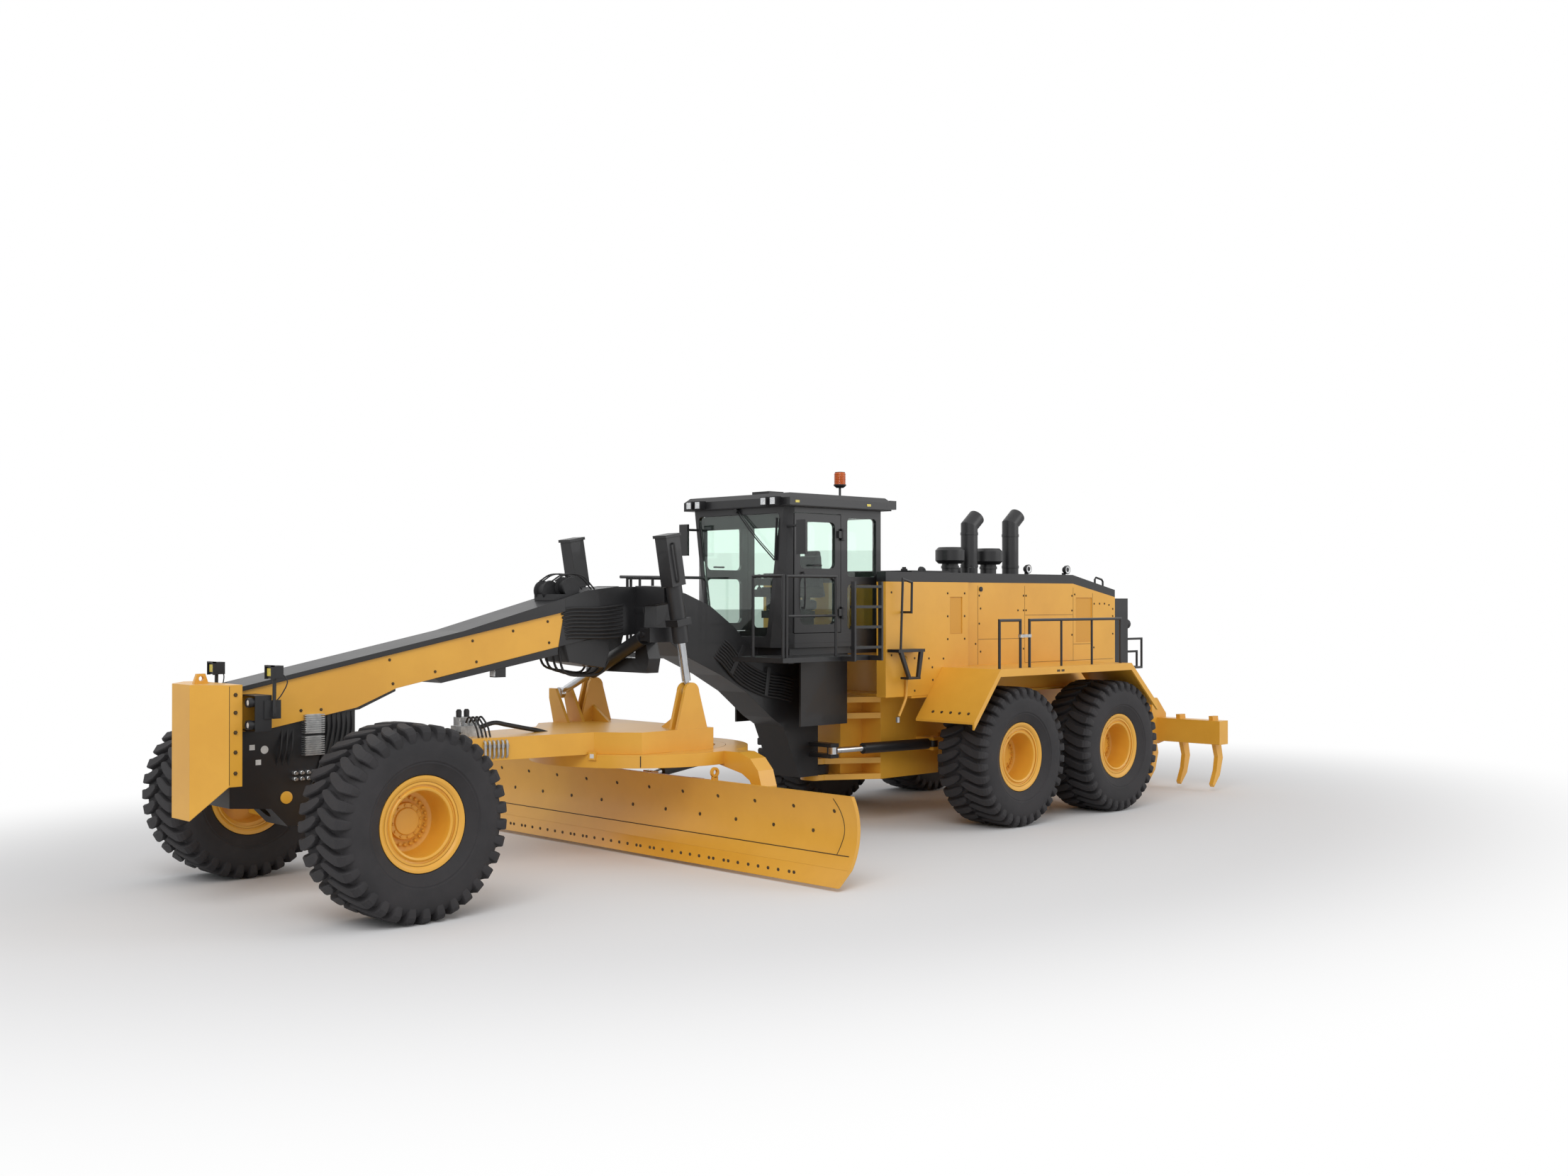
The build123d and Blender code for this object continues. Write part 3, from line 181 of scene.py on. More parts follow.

# perforated enamelled steel: round holes up to 7.5 mm wide every 11 mm, drawn as dark spots of painted shade,
# the shade behind the holes
perforatedSteel, tree, shader = newMaterial("perforatedSteel", "#B98430", 0.5)
place = addNode(tree, "ShaderNodeTexCoord")
cells = addNode(tree, "ShaderNodeTexVoronoi", {"Scale": 90.0, "Randomness": 0.0},
                {"Vector": place.outputs["Object"]})
holeShade = addNode(tree, "ShaderNodeValToRGB", links={"Fac": cells.outputs["Distance"]})
for element, where, code in zip(holeShade.color_ramp.elements, (0.30, 0.38), ("#4A3512", "#D79C36")):
    element.position, element.color = where, linearColour(code)
tree.links.new(holeShade.outputs["Color"], shader.inputs["Base Color"])
print("materials made:", len(bpy.data.materials))


def gridFaces(rows, cols, closeRows=False, closeCols=False):
    # quads between neighbouring points of a rows x cols grid, wrapping round where closed
    r = np.arange(rows if closeRows else rows - 1)[:, None]
    c = np.arange(cols if closeCols else cols - 1)[None, :]
    a, b = r * cols + c, r * cols + (c + 1) % cols
    d, e = ((r + 1) % rows) * cols + c, ((r + 1) % rows) * cols + (c + 1) % cols
    return np.stack([a, b, e, d], -1).reshape(-1, 4)


def repeated(points, faces, moves):
    # the same small shape at every 4 x 4 matrix of moves
    moves = np.asarray(moves)
    whole = np.einsum("nij,pj->npi", moves[:, :3, :3], points) + moves[:, None, :3, 3]
    return whole.reshape(-1, 3), [[v + k * len(points) for v in face] for k in range(len(moves))
                                  for face in faces]


def joined(*shapes):
    # several (points, faces) pairs as one pair
    starts = np.cumsum([0] + [len(points) for points, faces in shapes[:-1]])
    return (np.concatenate([points for points, faces in shapes]),
            [[int(v) + int(start) for v in face] for start, (points, faces) in zip(starts, shapes)
             for face in faces])


def other(shape):
    # the mirror image on the machine's right side
    return shape[0] * (-1, 1, 1), shape[1]


def prism(outline, axis, low, high):
    # an outline in the two other coordinates, kept in the order x, y, z, carried from low to high along axis
    count, k = len(outline), "XYZ".index(axis)
    points = np.zeros((2, count, 3))
    points[..., [j for j in range(3) if j != k]] = np.asarray(outline, float)
    points[0, :, k], points[1, :, k] = low, high
    ring = np.arange(count)
    sides = np.stack([ring, (ring + 1) % count, (ring + 1) % count + count, ring + count], -1).tolist()
    return points.reshape(-1, 3), sides + [ring.tolist(), (ring + count).tolist()]


def box(x, y, z):
    return prism(((x[0], y[0]), (x[1], y[0]), (x[1], y[1]), (x[0], y[1])), "Z", *z)


def turned(profile, centre, steps, axis="X", caps=True):
    # a lathe shape: profile rows are (along, radius); each point circles the axis at its radius
    profile = np.asarray(profile, float)
    angle = np.linspace(0, 2 * np.pi, steps, endpoint=False)
    along = np.repeat(profile[:, :1], steps, 1)
    u, v = profile[:, 1:] * np.cos(angle), profile[:, 1:] * np.sin(angle)
    order = {"X": (along, u, v), "Y": (v, along, u), "Z": (u, v, along)}[axis]
    faces = gridFaces(len(profile), steps, closeRows=not caps, closeCols=True).tolist()
    ends = [list(range(steps)), [(len(profile) - 1) * steps + k for k in range(steps)]] if caps else []
    return np.stack(order, -1).reshape(-1, 3) + np.asarray(centre), faces + ends


def hose(path, radius, fine=6, steps=8):
    # a tube along Catmull-Rom curves through the path, or along its straight runs where fine is 1
    p = np.asarray(path, float)
    if fine > 1:
        q = np.concatenate([[2 * p[0] - p[1]], p, [2 * p[-1] - p[-2]]])
        t = np.linspace(0, 1, fine, endpoint=False)[:, None]
        runs = []
        for k in range(1, len(p)):
            a, b, c, d = q[k - 1:k + 3]
            bend, twist = 2 * a - 5 * b + 4 * c - d, 3 * b - a - 3 * c + d
            runs.append(0.5 * (2 * b + (c - a) * t + bend * t ** 2 + twist * t ** 3))
        p = np.concatenate(runs + [p[-1:]])
    way = np.gradient(p, axis=0)
    way /= np.linalg.norm(way, axis=1)[:, None]
    side = np.cross(way[0], (0.3, 0.2, 0.93))
    sides = []
    for step in way:
        side = side - step * (side @ step)
        side = side / np.linalg.norm(side)
        sides.append(side)
    sides = np.array(sides)[:, None]
    ups = np.cross(way[:, None], sides)
    angle = np.linspace(0, 2 * np.pi, steps, endpoint=False)[None, :, None]
    rings = p[:, None] + radius * (np.cos(angle) * sides + np.sin(angle) * ups)
    last = (len(p) - 1) * steps
    faces = gridFaces(len(p), steps, closeCols=True).tolist()
    return rings.reshape(-1, 3), faces + [list(range(steps)), [last + k for k in range(steps)]]


def bar(start, end, width, depth, up=(0, 0, 1)):
    # a square-edged bar from start to end, width across and depth along up
    start, end, up = (np.asarray(v, float) for v in (start, end, up))
    along = (end - start) / np.linalg.norm(end - start)
    across = np.cross(along, up)
    across /= np.linalg.norm(across)
    up = np.cross(across, along)
    corners = [a * across * width / 2 + b * up * depth / 2 for a, b in ((-1, -1), (1, -1), (1, 1), (-1, 1))]
    points = np.array([base + corner for base in (start, end) for corner in corners])
    return points, [[0, 1, 5, 4], [1, 2, 6, 5], [2, 3, 7, 6], [3, 0, 4, 7], [0, 1, 2, 3], [4, 5, 6, 7]]


def landed(nodeName, places, way, back=0.6):
    # each place moved along way until it meets the node's surface, starting back behind it
    # one that misses stays where it was given, and is printed
    piece, way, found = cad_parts[nodeName], Vector(way), []
    for place in places:
        start = Vector(np.asarray(place, float) + axleShift) - way * back
        hit, point, normal = piece.ray_cast(start, way)[:3]
        if not hit:
            print("no surface:", nodeName, [round(float(v), 3) for v in place])
        if hit:
            found.append((np.array(point) - axleShift, np.array(normal)))
        else:
            found.append((np.asarray(place, float), -np.array(way)))
    return found


def studs(nodeName, places, way, radius=0.014, height=0.012):
    # a hexagon bolt head with its washer at each landed place
    profile = [(-0.004, radius * 1.35), (0.003, radius * 1.35), (0.003, radius), (height * 0.85, radius),
               (height, radius * 0.8), (height, radius * 0.05)]
    head = turned(profile, (0, 0, 0), 6)
    shapes = []
    for point, normal in landed(nodeName, places, way):
        turn = np.array(Vector(normal).to_track_quat("X", "Z").to_matrix())
        shapes.append((head[0] @ turn.T + point, head[1]))
    return joined(*shapes)


def makePiece(name, body, material, *shapes, both=False, smooth=32.0):
    # a mesh object with its place in its points, riding on a body; both adds its mirror image
    whole = list(shapes) + ([other(shape) for shape in shapes] if both else [])
    points, faces = joined(*whole)
    mesh = bpy.data.meshes.new(name)
    mesh.from_pydata((points + axleShift).tolist(), [], faces)
    work = bmesh.new()
    work.from_mesh(mesh)
    bmesh.ops.recalc_face_normals(work, faces=work.faces)
    work.to_mesh(mesh)
    work.free()
    piece = bpy.data.objects.new(name, mesh)
    scene.collection.objects.link(piece)
    mesh.materials.append(material)
    mesh.polygons.foreach_set("use_smooth", np.ones(len(mesh.polygons), bool))
    mesh.set_sharp_from_angle(angle=math.radians(smooth))
    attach(piece, body)
    return piece


wheelPlan = {"radius": 0.932, "root": 0.058, "lugs": 34, "steps": 136, "x": 1.7325, "z": 0.932,
             "rows": {"front": 0.0, "middle": 9.1355, "rear": 11.4205}}


def tyreCarcass(plan):
    # a lathe profile: bead, bulging sidewall with rim guard and rings, shoulder, ground between the lugs
    root = plan["radius"] - plan["root"]
    side = np.array([(0.2952, 0.3725), (0.2952, 0.459), (0.318, 0.466), (0.345, 0.51), (0.366, 0.565),
                     (0.372, 0.572), (0.372, 0.586), (0.383, 0.6), (0.3895, 0.66), (0.3895, 0.72),
                     (0.384, 0.765), (0.372, 0.8), (0.352, 0.836), (0.318, 0.862), (0.2, root),
                     (0.0, root + 0.002)])
    whole = np.concatenate([side, side[-2::-1] * (-1, 1), [(-0.2952, 0.38), (0.2952, 0.38)]])
    return turned(whole, (0, 0, 0), plan["steps"], caps=False)


def tyreLug(plan, way):
    # a ridge section carried from the tread's middle over the shoulder
    # columns: x, top, root, lead, half width
    line = np.array([(0.006, 0.9318, 0.868, 0.105, 0.014), (0.045, 0.932, 0.868, 0.094, 0.036),
                     (0.10, 0.932, 0.868, 0.07, 0.05), (0.20, 0.9315, 0.866, 0.03, 0.051),
                     (0.27, 0.930, 0.862, 0.006, 0.05), (0.335, 0.924, 0.846, 0.0, 0.049),
                     (0.372, 0.900, 0.822, 0.0, 0.047), (0.3885, 0.866, 0.80, 0.0, 0.042),
                     (0.3885, 0.826, 0.775, 0.0, 0.036), (0.383, 0.785, 0.75, 0.0, 0.03)])
    across = np.array([-1.24, -1.1, -0.9, 0.9, 1.1, 1.24])
    height = np.array([-0.1, 0.82, 1.0, 1.0, 0.82, -0.1])
    x, top, low, lead, half = line.T[:, :, None]
    outward = np.clip((x - 0.30) / 0.09, 0, 1)
    radius = low + (top - low) * height
    angle = (lead + half * across) / 0.93 + (0.0 if way > 0 else np.pi / plan["lugs"])
    x = x - outward * 0.02 * (1 - height)
    points = np.stack([way * (x + 0 * angle), radius * np.sin(angle), radius * np.cos(angle)], -1)
    rows, cols = angle.shape
    last = (rows - 1) * cols
    ends = [list(range(cols)), [last + k for k in range(cols)]]
    return points.reshape(-1, 3), gridFaces(rows, cols, closeCols=True).tolist() + ends


def turnsAbout(axis, count, start=0.0):
    # count 4 x 4 matrices, each turned on by a full turn's share about an axis
    angle = start + np.arange(count) * 2 * np.pi / count
    c, s, k = np.cos(angle), np.sin(angle), "XYZ".index(axis)
    made = np.tile(np.eye(4), (count, 1, 1))
    i, j = (k + 1) % 3, (k + 2) % 3
    made[:, i, i], made[:, i, j], made[:, j, i], made[:, j, j] = c, -s, s, c
    return made


def boltRing(ring):
    # hexagon heads with washers in a ring about X
    size, height = ring["head"], ring["height"]
    head = turned([(-0.003, size * 1.3), (height * 0.18, size * 1.3), (height * 0.18, size),
                   (height * 0.85, size), (height, size * 0.82), (height, 0.0005)],
                  (ring["x"], 0, ring["radius"]), 6)
    return repeated(*head, turnsAbout("X", ring["count"], ring["start"]))


rimPlan = {
    "steps": 96,
    "profile": [(0.3175, 0.4568), (0.3175, 0.4300), (0.3145, 0.4215), (0.3050, 0.4130), (0.2950, 0.3950),
                (0.2800, 0.3720), (0.2760, 0.3600), (0.2790, 0.3500), (0.2920, 0.3440), (0.2980, 0.3360),
                (0.2960, 0.3250), (0.2880, 0.3150), (0.2750, 0.3110), (0.2300, 0.3105), (0.0900, 0.3095),
                (0.0300, 0.3040), (-0.0030, 0.2900), (-0.0150, 0.2700), (-0.0180, 0.2450), (-0.0180, 0.1800),
                (-0.0150, 0.1760), (0.0180, 0.1740), (0.0220, 0.1700), (0.0230, 0.1300), (0.0350, 0.1260),
                (0.0380, 0.1220), (0.0390, 0.0050), (0.0390, 0.0005), (-0.0720, 0.0615), (-0.0720, 0.3210),
                (-0.2500, 0.3360), (-0.3160, 0.4150), (-0.3175, 0.4568), (-0.2960, 0.4568),
                (-0.2960, 0.3712), (0.2960, 0.3712), (0.2960, 0.4568)],
    "rings": [{"count": 24, "start": 0.0, "x": -0.018, "radius": 0.225, "head": 0.016, "height": 0.026},
              {"count": 12, "start": 0.1, "x": 0.0225, "radius": 0.150, "head": 0.011, "height": 0.014},
              {"count": 1, "start": 0.7, "x": 0.279, "radius": 0.352, "head": 0.009, "height": 0.02}]}
tyreShape = joined(tyreCarcass(wheelPlan), *[repeated(*tyreLug(wheelPlan, way),
                                                      turnsAbout("X", wheelPlan["lugs"]))
                                             for way in (-1, 1)])
rimShape = joined(turned(rimPlan["profile"], (0, 0, 0), rimPlan["steps"], caps=False),
                  *[boltRing(ring) for ring in rimPlan["rings"]])
for rowName, rowY in wheelPlan["rows"].items():
    for sideName, way in (("left", 1), ("right", -1)):
        centre = np.array([way * wheelPlan["x"], rowY, wheelPlan["z"]])
        name = rowName + "_" + sideName
        tyre = makePiece("tyreMoulded_" + name, "wheel_" + name, tyreRubber,
                         (tyreShape[0] + centre, tyreShape[1]), smooth=24.0)
        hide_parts("tyre_" + name)
        rim = makePiece("rimPressed_" + name, "wheel_" + name, yellowEnamel,
                        (rimShape[0] * (way, 1, 1) + centre, rimShape[1]))
        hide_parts("rim_" + name)
print("wheels made:", len(tyreShape[1]), "faces a tyre")

# the nose block, its seam bolts, the marker and head lamps and the blank label plates
nosePlan = {"startX": 0.6, "boltY": -1.10, "boltZ": (2.12, 1.95, 1.76, 1.57, 1.37), "lampX": 0.55,
            "lampY": -0.997, "lampZ": (1.827, 2.043)}
left, right = (-1, 0, 0), (1, 0, 0)
for sideName, way, towards in (("left", 1, left), ("right", -1, right)):
    makePiece("noseBolts_" + sideName, "front_frame", boltsAndPaintedShade,
              studs("boom", [(way * nosePlan["startX"], nosePlan["boltY"], z) for z in nosePlan["boltZ"]],
                    towards, 0.016, 0.016))
# a dark strip along the nose block's flange seam: painted shade of the gap
makePiece("noseGapShade", "front_frame", hoseRubber, box((0.499, 0.502), (-1.163, -1.159), (1.26, 2.2)),
          both=True)
markerFace = box((0.585, 0.665), (-0.822, -0.812), (2.295, 2.37))
makePiece("markerLenses", "front_frame", yellowLens, markerFace, both=True)
makePiece("markerHoods", "front_frame", blackPolyamide, box((0.555, 0.695), (-0.835, -0.80), (2.385, 2.40)),
          box((0.555, 0.565), (-0.835, -0.80), (2.265, 2.40)),
          box((0.685, 0.695), (-0.835, -0.80), (2.265, 2.40)),
          hose([(0.64, -0.71, 2.33), (0.68, -0.66, 2.24), (0.65, -0.70, 2.12), (0.63, -0.75, 2.05)], 0.006),
          both=True)
headPlaces = [(nosePlan["lampX"], nosePlan["lampY"], z) for z in nosePlan["lampZ"]]
headLenses = [turned([(-0.006, 0.002), (-0.004, 0.026), (0.004, 0.036), (0.012, 0.037)],
                     place, 20, "Y") for place in headPlaces]
makePiece("headLenses", "front_frame", clearLens, *headLenses, both=True)
headRims = [turned([(-0.012, 0.037), (-0.012, 0.046), (0.03, 0.047), (0.03, 0.037)],
                   place, 24, "Y", caps=False) for place in headPlaces]
makePiece("headRims", "front_frame", blackPolyamide, *headRims, both=True)

boomBolts = [(-.66, 2.07), (-.65, 1.83), (-.30, 1.92), (-.08, 1.92), (.70, 2.40), (.74, 2.15), (1.77, 2.35),
             (1.72, 2.58), (2.72, 2.78), (2.74, 2.54), (1.25, 2.26), (2.25, 2.68)]
for sideName, way, towards in (("left", 1, left), ("right", -1, right)):
    makePiece("boomBolts_" + sideName, "front_frame", boltsAndPaintedShade, studs(
        "boom", [(way * 0.3, y, z) for y, z in boomBolts], towards, 0.013, 0.009))
makePiece("boomUnderstrip", "front_frame", blackEnamel,
          prism(((1.25, 2.185), (2.86, 2.487), (2.86, 2.40), (1.32, 2.135)), "X", -0.272, 0.272),
          prism(((-1.02, 1.747), (-0.68, 1.752), (0.32, 1.922), (0.78, 2.102), (0.78, 2.07), (0.36, 1.9)),
                "X", -0.25, 0.25))
makePiece("boomLamp", "front_frame", blackPolyamide, box((0.15, 0.27), (2.02, 2.15), (2.17, 2.285)),
          box((0.17, 0.25), (1.92, 2.14), (2.27, 2.34)))
makePiece("boomLampLens", "front_frame", clearLens, box((0.162, 0.258), (2.016, 2.024), (2.18, 2.275)))
for name, y, z in (("labelPlateSquare", -0.80, 1.58), ("labelPlateLow", -0.735, 1.43)):
    makePiece(name, "front_frame", labelFilm,
              box((0.2295, 0.2325), (y - 0.028, y + 0.028), (z - 0.026, z + 0.026)), both=True)
makePiece("labelPlateRound", "front_frame", labelFilm,
          turned([(0.2295, 0.001), (0.2295, 0.04), (0.2325, 0.04), (0.2325, 0.001)], (0, -0.67, 1.55), 28),
          both=True)

# valve banks with cooling fins on the bolster, and the hoses that drop from the boom to the axle
fins = []
for z0 in (1.47, 1.69):
    fins += [box((0.225, 0.305), (-0.275, -0.06), (z0 + 0.022 * k, z0 + 0.022 * k + 0.011))
             for k in range(9)]
    fins.append(box((0.225, 0.28), (-0.25, -0.085), (z0 - 0.005, z0 + 0.19)))
makePiece("bolsterFins", "front_frame", zincPlate, *fins, both=True)
dropHoses = []
for k in range(6):
    y = 0.0 + 0.055 * k
    dropHoses.append(hose([(0.21 + 0.012 * (k % 2), y, 1.93), (0.245, y + 0.01, 1.72),
                           (0.243 - 0.01 * (k % 3), y - 0.05, 1.45), (0.238, y - 0.14, 1.22),
                           (0.2, y - 0.2, 1.12)], 0.013))
dropHoses += [hose([(0.22, -0.42 - 0.06 * k, 1.38), (0.27, -0.40 - 0.06 * k, 1.55),
                    (0.22, -0.36 - 0.06 * k, 1.74)], 0.011) for k in range(3)]
makePiece("bolsterHoses", "front_frame", hoseRubber, *dropHoses, both=True)
fittings = [turned([(0, 0.001), (0, 0.02), (0.05, 0.02), (0.055, 0.014), (0.08, 0.014), (0.08, 0.001)],
                   (0.225, -0.36 + 0.07 * (k % 4), 1.24 + 0.06 * (k // 4)), 10) for k in range(8)]
makePiece("bolsterFittings", "front_frame", zincPlate, *fittings, both=True)
makePiece("bolsterCap", "front_frame", yellowEnamel,
          turned([(0.225, 0.001), (0.225, 0.062), (0.245, 0.062), (0.25, 0.045), (0.25, 0.001)],
                 (0, -0.44, 1.06), 32), both=True)

# the hoses that run from the boom's end along the gooseneck, the reels above them and the guard below
cableRuns = [hose([(0.262, 2.90 + 0.01 * k, 2.90 - 0.04 * k), (0.292, 3.05, 2.93 - 0.042 * k),
                   (0.298, 3.4, 2.93 - 0.043 * k), (0.285, 3.68, 2.95 - 0.045 * k),
                   (0.262, 3.80, 2.96 - 0.045 * k)], 0.015) for k in range(9)]
makePiece("boomEndHoses", "front_frame", hoseRubber, *cableRuns, both=True)
reel = [(-0.09, 0.04), (-0.09, 0.115), (-0.07, 0.12), (-0.06, 0.085), (0.06, 0.085), (0.07, 0.12),
        (0.09, 0.115), (0.09, 0.04)]
makePiece("topReels", "front_frame", blackPolyamide, turned(reel, (-0.05, 2.93, 3.13), 28),
          turned(reel, (0.12, 3.10, 3.17), 28), box((-0.16, 0.22), (2.84, 3.22), (3.02, 3.09)))
makePiece("reelHoses", "front_frame", hoseRubber,
          *[hose([(x, 2.90, 3.24), (x + 0.02, 3.05, 3.32), (x + 0.05, 3.25, 3.30), (x + 0.06, 3.42, 3.15)],
                 0.009) for x in (-0.14, -0.08, 0.1, 0.16)])
makePiece("neckGuard", "front_frame", blackEnamel,
          prism(((2.98, 2.53), (3.05, 2.31), (3.34, 2.26), (3.56, 2.23), (3.62, 2.40), (3.62, 2.60),
                 (3.0, 2.52)), "X", -0.235, 0.235))
guardHoses = [hose([(x, 2.92, 2.50), (x + 0.01, 3.0, 2.26 - 0.02 * k), (x, 3.3, 2.19 - 0.015 * k),
                    (x - 0.02, 3.55, 2.17), (x - 0.02, 3.66, 2.3)], 0.014)
              for k, x in enumerate((-0.2, -0.08, 0.06, 0.19))]
makePiece("guardHoses", "front_frame", hoseRubber, *guardHoses)
bundle = []
neckLine = np.array([(5.30, 2.40), (5.41, 2.31), (5.58, 2.15), (5.80, 2.01), (6.12, 1.89), (6.38, 1.85),
                     (6.62, 1.80)])
for k in range(8):
    # each strand lies about 40 mm above the one before, leaning back most at the line's first point
    lift = 0.042 * k - 0.10
    lean = np.linspace(0.62, 0.12, len(neckLine))
    strand = [(0.292 if 0 < j < len(neckLine) - 1 else 0.255, y + lift * s, z + lift * (1 - s / 2))
              for j, ((y, z), s) in enumerate(zip(neckLine, lean))]
    bundle.append(hose(strand, 0.017))
makePiece("neckHoses", "front_frame", hoseRubber, *bundle, both=True)
makePiece("neckClamps", "front_frame", blackEnamel,
          bar((0.29, 5.50, 2.10), (0.29, 5.72, 2.44), 0.06, 0.05, (1, 0, 0)),
          bar((0.29, 6.10, 1.80), (0.29, 6.16, 2.16), 0.06, 0.05, (1, 0, 0)), both=True)
makePiece("neckRail", "front_frame", blackEnamel,
          hose([(0, 3.98, 3.30), (0, 5.30, 3.30), (0, 5.34, 3.26), (0, 5.34, 2.83)], 0.019, 1),
          hose([(0, 4.28, 3.16), (0, 4.28, 3.30)], 0.017, 1),
          turned([(3.165, 0.05), (3.185, 0.05), (3.19, 0.02)], (0, 4.28, 0), 12, "Z"))

# the lift cylinders' square shrouds with their caps, along each cylinder's own axis
liftPlan = {"pivot": (0.91, 4.06, 3.08), "eye": (0.91, 4.26, 1.95), "top": 0.70, "foot": 0.11,
            "size": 0.205}
pivot, eye = np.array(liftPlan["pivot"]), np.array(liftPlan["eye"])
axis = (pivot - eye) / np.linalg.norm(pivot - eye)
for sideName, way in (("left", 1), ("right", -1)):
    shroud = [bar(pivot + axis * liftPlan["foot"], pivot + axis * (liftPlan["top"] + 0.004),
                  liftPlan["size"], liftPlan["size"], (0, 1, 0)),
              bar(pivot + axis * (liftPlan["top"] - 0.02), pivot + axis * (liftPlan["top"] + 0.014), 0.235,
                  0.235, (0, 1, 0)),
              bar(pivot - axis * 0.36, pivot - axis * 0.28, 0.215, 0.215, (0, 1, 0))]
    line = [pivot + axis * along + np.array((0.10, -0.02, 0)) for along in (0.60, 0.56, 0.2)]
    pipe = hose([line[0] - (0.01, 0, 0), line[0] + (0.03, 0, 0), line[1] + (0.035, 0, -0.03),
                 line[2] + (0.03, 0, 0), line[2] - (0.0, 0, 0.05)], 0.012)
    makePiece("liftShroud_" + sideName, "lift_barrel_" + sideName, blackEnamel,
              *[shape if way > 0 else other(shape) for shape in shroud])
    makePiece("liftPipe_" + sideName, "lift_barrel_" + sideName, hoseRubber,
              pipe if way > 0 else other(pipe))

# the drawbar's valve block, couplers and hoses, all set down on the drawbar's own deck
deckPoint = landed("drawbar", [(0, 1.83, 2.6)], (0, 0, -1))[0][0]
deck = np.array((0, 0, deckPoint[2]))
print("drawbar deck at", deckPoint.round(3))


def onDeck(*shapes):
    return [(points + deck, faces) for points, faces in shapes]


makePiece("drawbarValve", "drawbar", zincPlate, *onDeck(
    box((-0.10, 0.10), (1.68, 1.98), (-0.005, 0.12)), box((-0.14, -0.02), (1.74, 1.92), (0.115, 0.21)),
    *[turned([(0, 0.001), (0, 0.024), (0.05, 0.024), (0.055, 0.014), (0.09, 0.014), (0.09, 0.001)],
             (0.03, 1.71 + 0.075 * k, 0.115), 10, "Z") for k in range(4)]))
makePiece("drawbarValveCoils", "drawbar", blackPolyamide,
          *onDeck(*[turned([(0, 0.001), (0, 0.03), (0.07, 0.032), (0.09, 0.02), (0.09, 0.001)],
                           (-0.08, 1.77 + 0.1 * k, 0.205), 14, "Z") for k in range(2)]))
drawHoses = [hose([(0.1, 1.93, 0.10), (0.12, 2.10, 0.14), (0.12, 2.26, 0.11), (0.10, 2.50, 0.06),
                   (0.08, 2.70, 0.02), (0.07, 2.85, -0.02)], 0.026)]
drawHoses += [hose([(0.09, 1.75 + 0.05 * k, 0.16), (0.16, 1.75 + 0.05 * k, 0.22),
                    (0.24, 1.78 + 0.05 * k, 0.12), (0.27, 1.80 + 0.05 * k, -0.01)], 0.011)
              for k in range(4)]
drawHoses += [hose([(-0.09 + 0.045 * k, 1.70, 0.05), (-0.07 + 0.035 * k, 1.45, 0.05),
                    (-0.05 + 0.025 * k, 1.15, 0.04), (-0.04 + 0.02 * k, 0.92, 0.02),
                    (-0.04 + 0.02 * k, 0.80, -0.03)], 0.012) for k in range(5)]
makePiece("drawbarHoses", "drawbar", hoseRubber, *onDeck(*drawHoses))
for sideName, way, towards in (("left", 1, left), ("right", -1, right)):
    shapes = []
    for point, normal in landed("drawbar",
                                [(way * 0.5, 1.80 + 0.052 * k, deck[2] - 0.12) for k in range(6)], towards):
        x, y, z = point
        shapes.append(hose([(x - way * 0.01, y, z + 0.09), (x + way * 0.022, y, z + 0.07),
                            (x + way * 0.024, y, z), (x + way * 0.022, y, z - 0.08),
                            (x - way * 0.01, y, z - 0.10)], 0.014))
        shapes.append(turned([(-0.02, 0.012), (-0.02, 0.021), (0.02, 0.021), (0.02, 0.012)],
                             (x + way * 0.024, y, z + 0.03), 6, "Z", caps=False))
    makePiece("drawbarCouplers_" + sideName, "drawbar", zincPlate, *shapes)

# the circle's seam, drawn as a dark line of painted shade in its gap, and its wear pad
seam = landed("circle", [(1.6, 3.45, z) for z in (1.13, 1.19, 1.258)], left)
makePiece("circleGapShade", "circle", hoseRubber, hose([point for point, normal in seam], 0.006, 1, 6),
          both=True)
(pad, padNormal), = landed("circle", [(1.6, 3.10, 1.255)], left)
padTurn = np.array(Vector(padNormal).to_track_quat("X", "Z").to_matrix())
for name, half, deep, material in (("circlePad", 0.046, 0.02, yellowEnamel),
                                   ("circlePadFace", 0.024, 0.023, labelFilm)):
    points, faces = box((-0.02, deep), (-half, half), (-half, half))
    makePiece(name, "circle", material, (points @ padTurn.T + pad, faces), both=True)

# the blade: plough bolts in two rows and the edge's bolt groups, their heads brown-black as painted shade of
# their recesses; dark lines of painted shade along the seams of edge and wear plates; lifting eye
bladePlan = {"startY": 3.4, "pitch": 0.613, "highRow": (-2.79, 11, 0.79), "lowRow": (-2.51, 10, 0.55),
             "edgeZ": 0.262, "edgeShifts": (0, -1.226, -2.452, -3.678, -4.904, -5.9), "seamZ": 0.335,
             "seamX": 3.58}
forward = (0, 1, 0)
startY, edgeZ = bladePlan["startY"], bladePlan["edgeZ"]
bladeRows = []
for first, count, z in (bladePlan["highRow"], bladePlan["lowRow"]):
    rowX = np.round(first + bladePlan["pitch"] * np.arange(count), 3)
    bladeRows.append(studs("moldboard", [(x, startY, z) for x in rowX], forward, 0.017, 0.006))
# the heads' brown-black, here and on the edge bolts below, is painted shade for the recesses round yellow
# plough bolts
makePiece("bladeBolts", "blade", boltsAndPaintedShade, *bladeRows)
group = np.array([2.48, 2.55, 2.70, 2.86, 3.01, 3.16, 3.31, 3.47, 3.54])
edgeX = [x for step in bladePlan["edgeShifts"] for x in (group + step).tolist()]
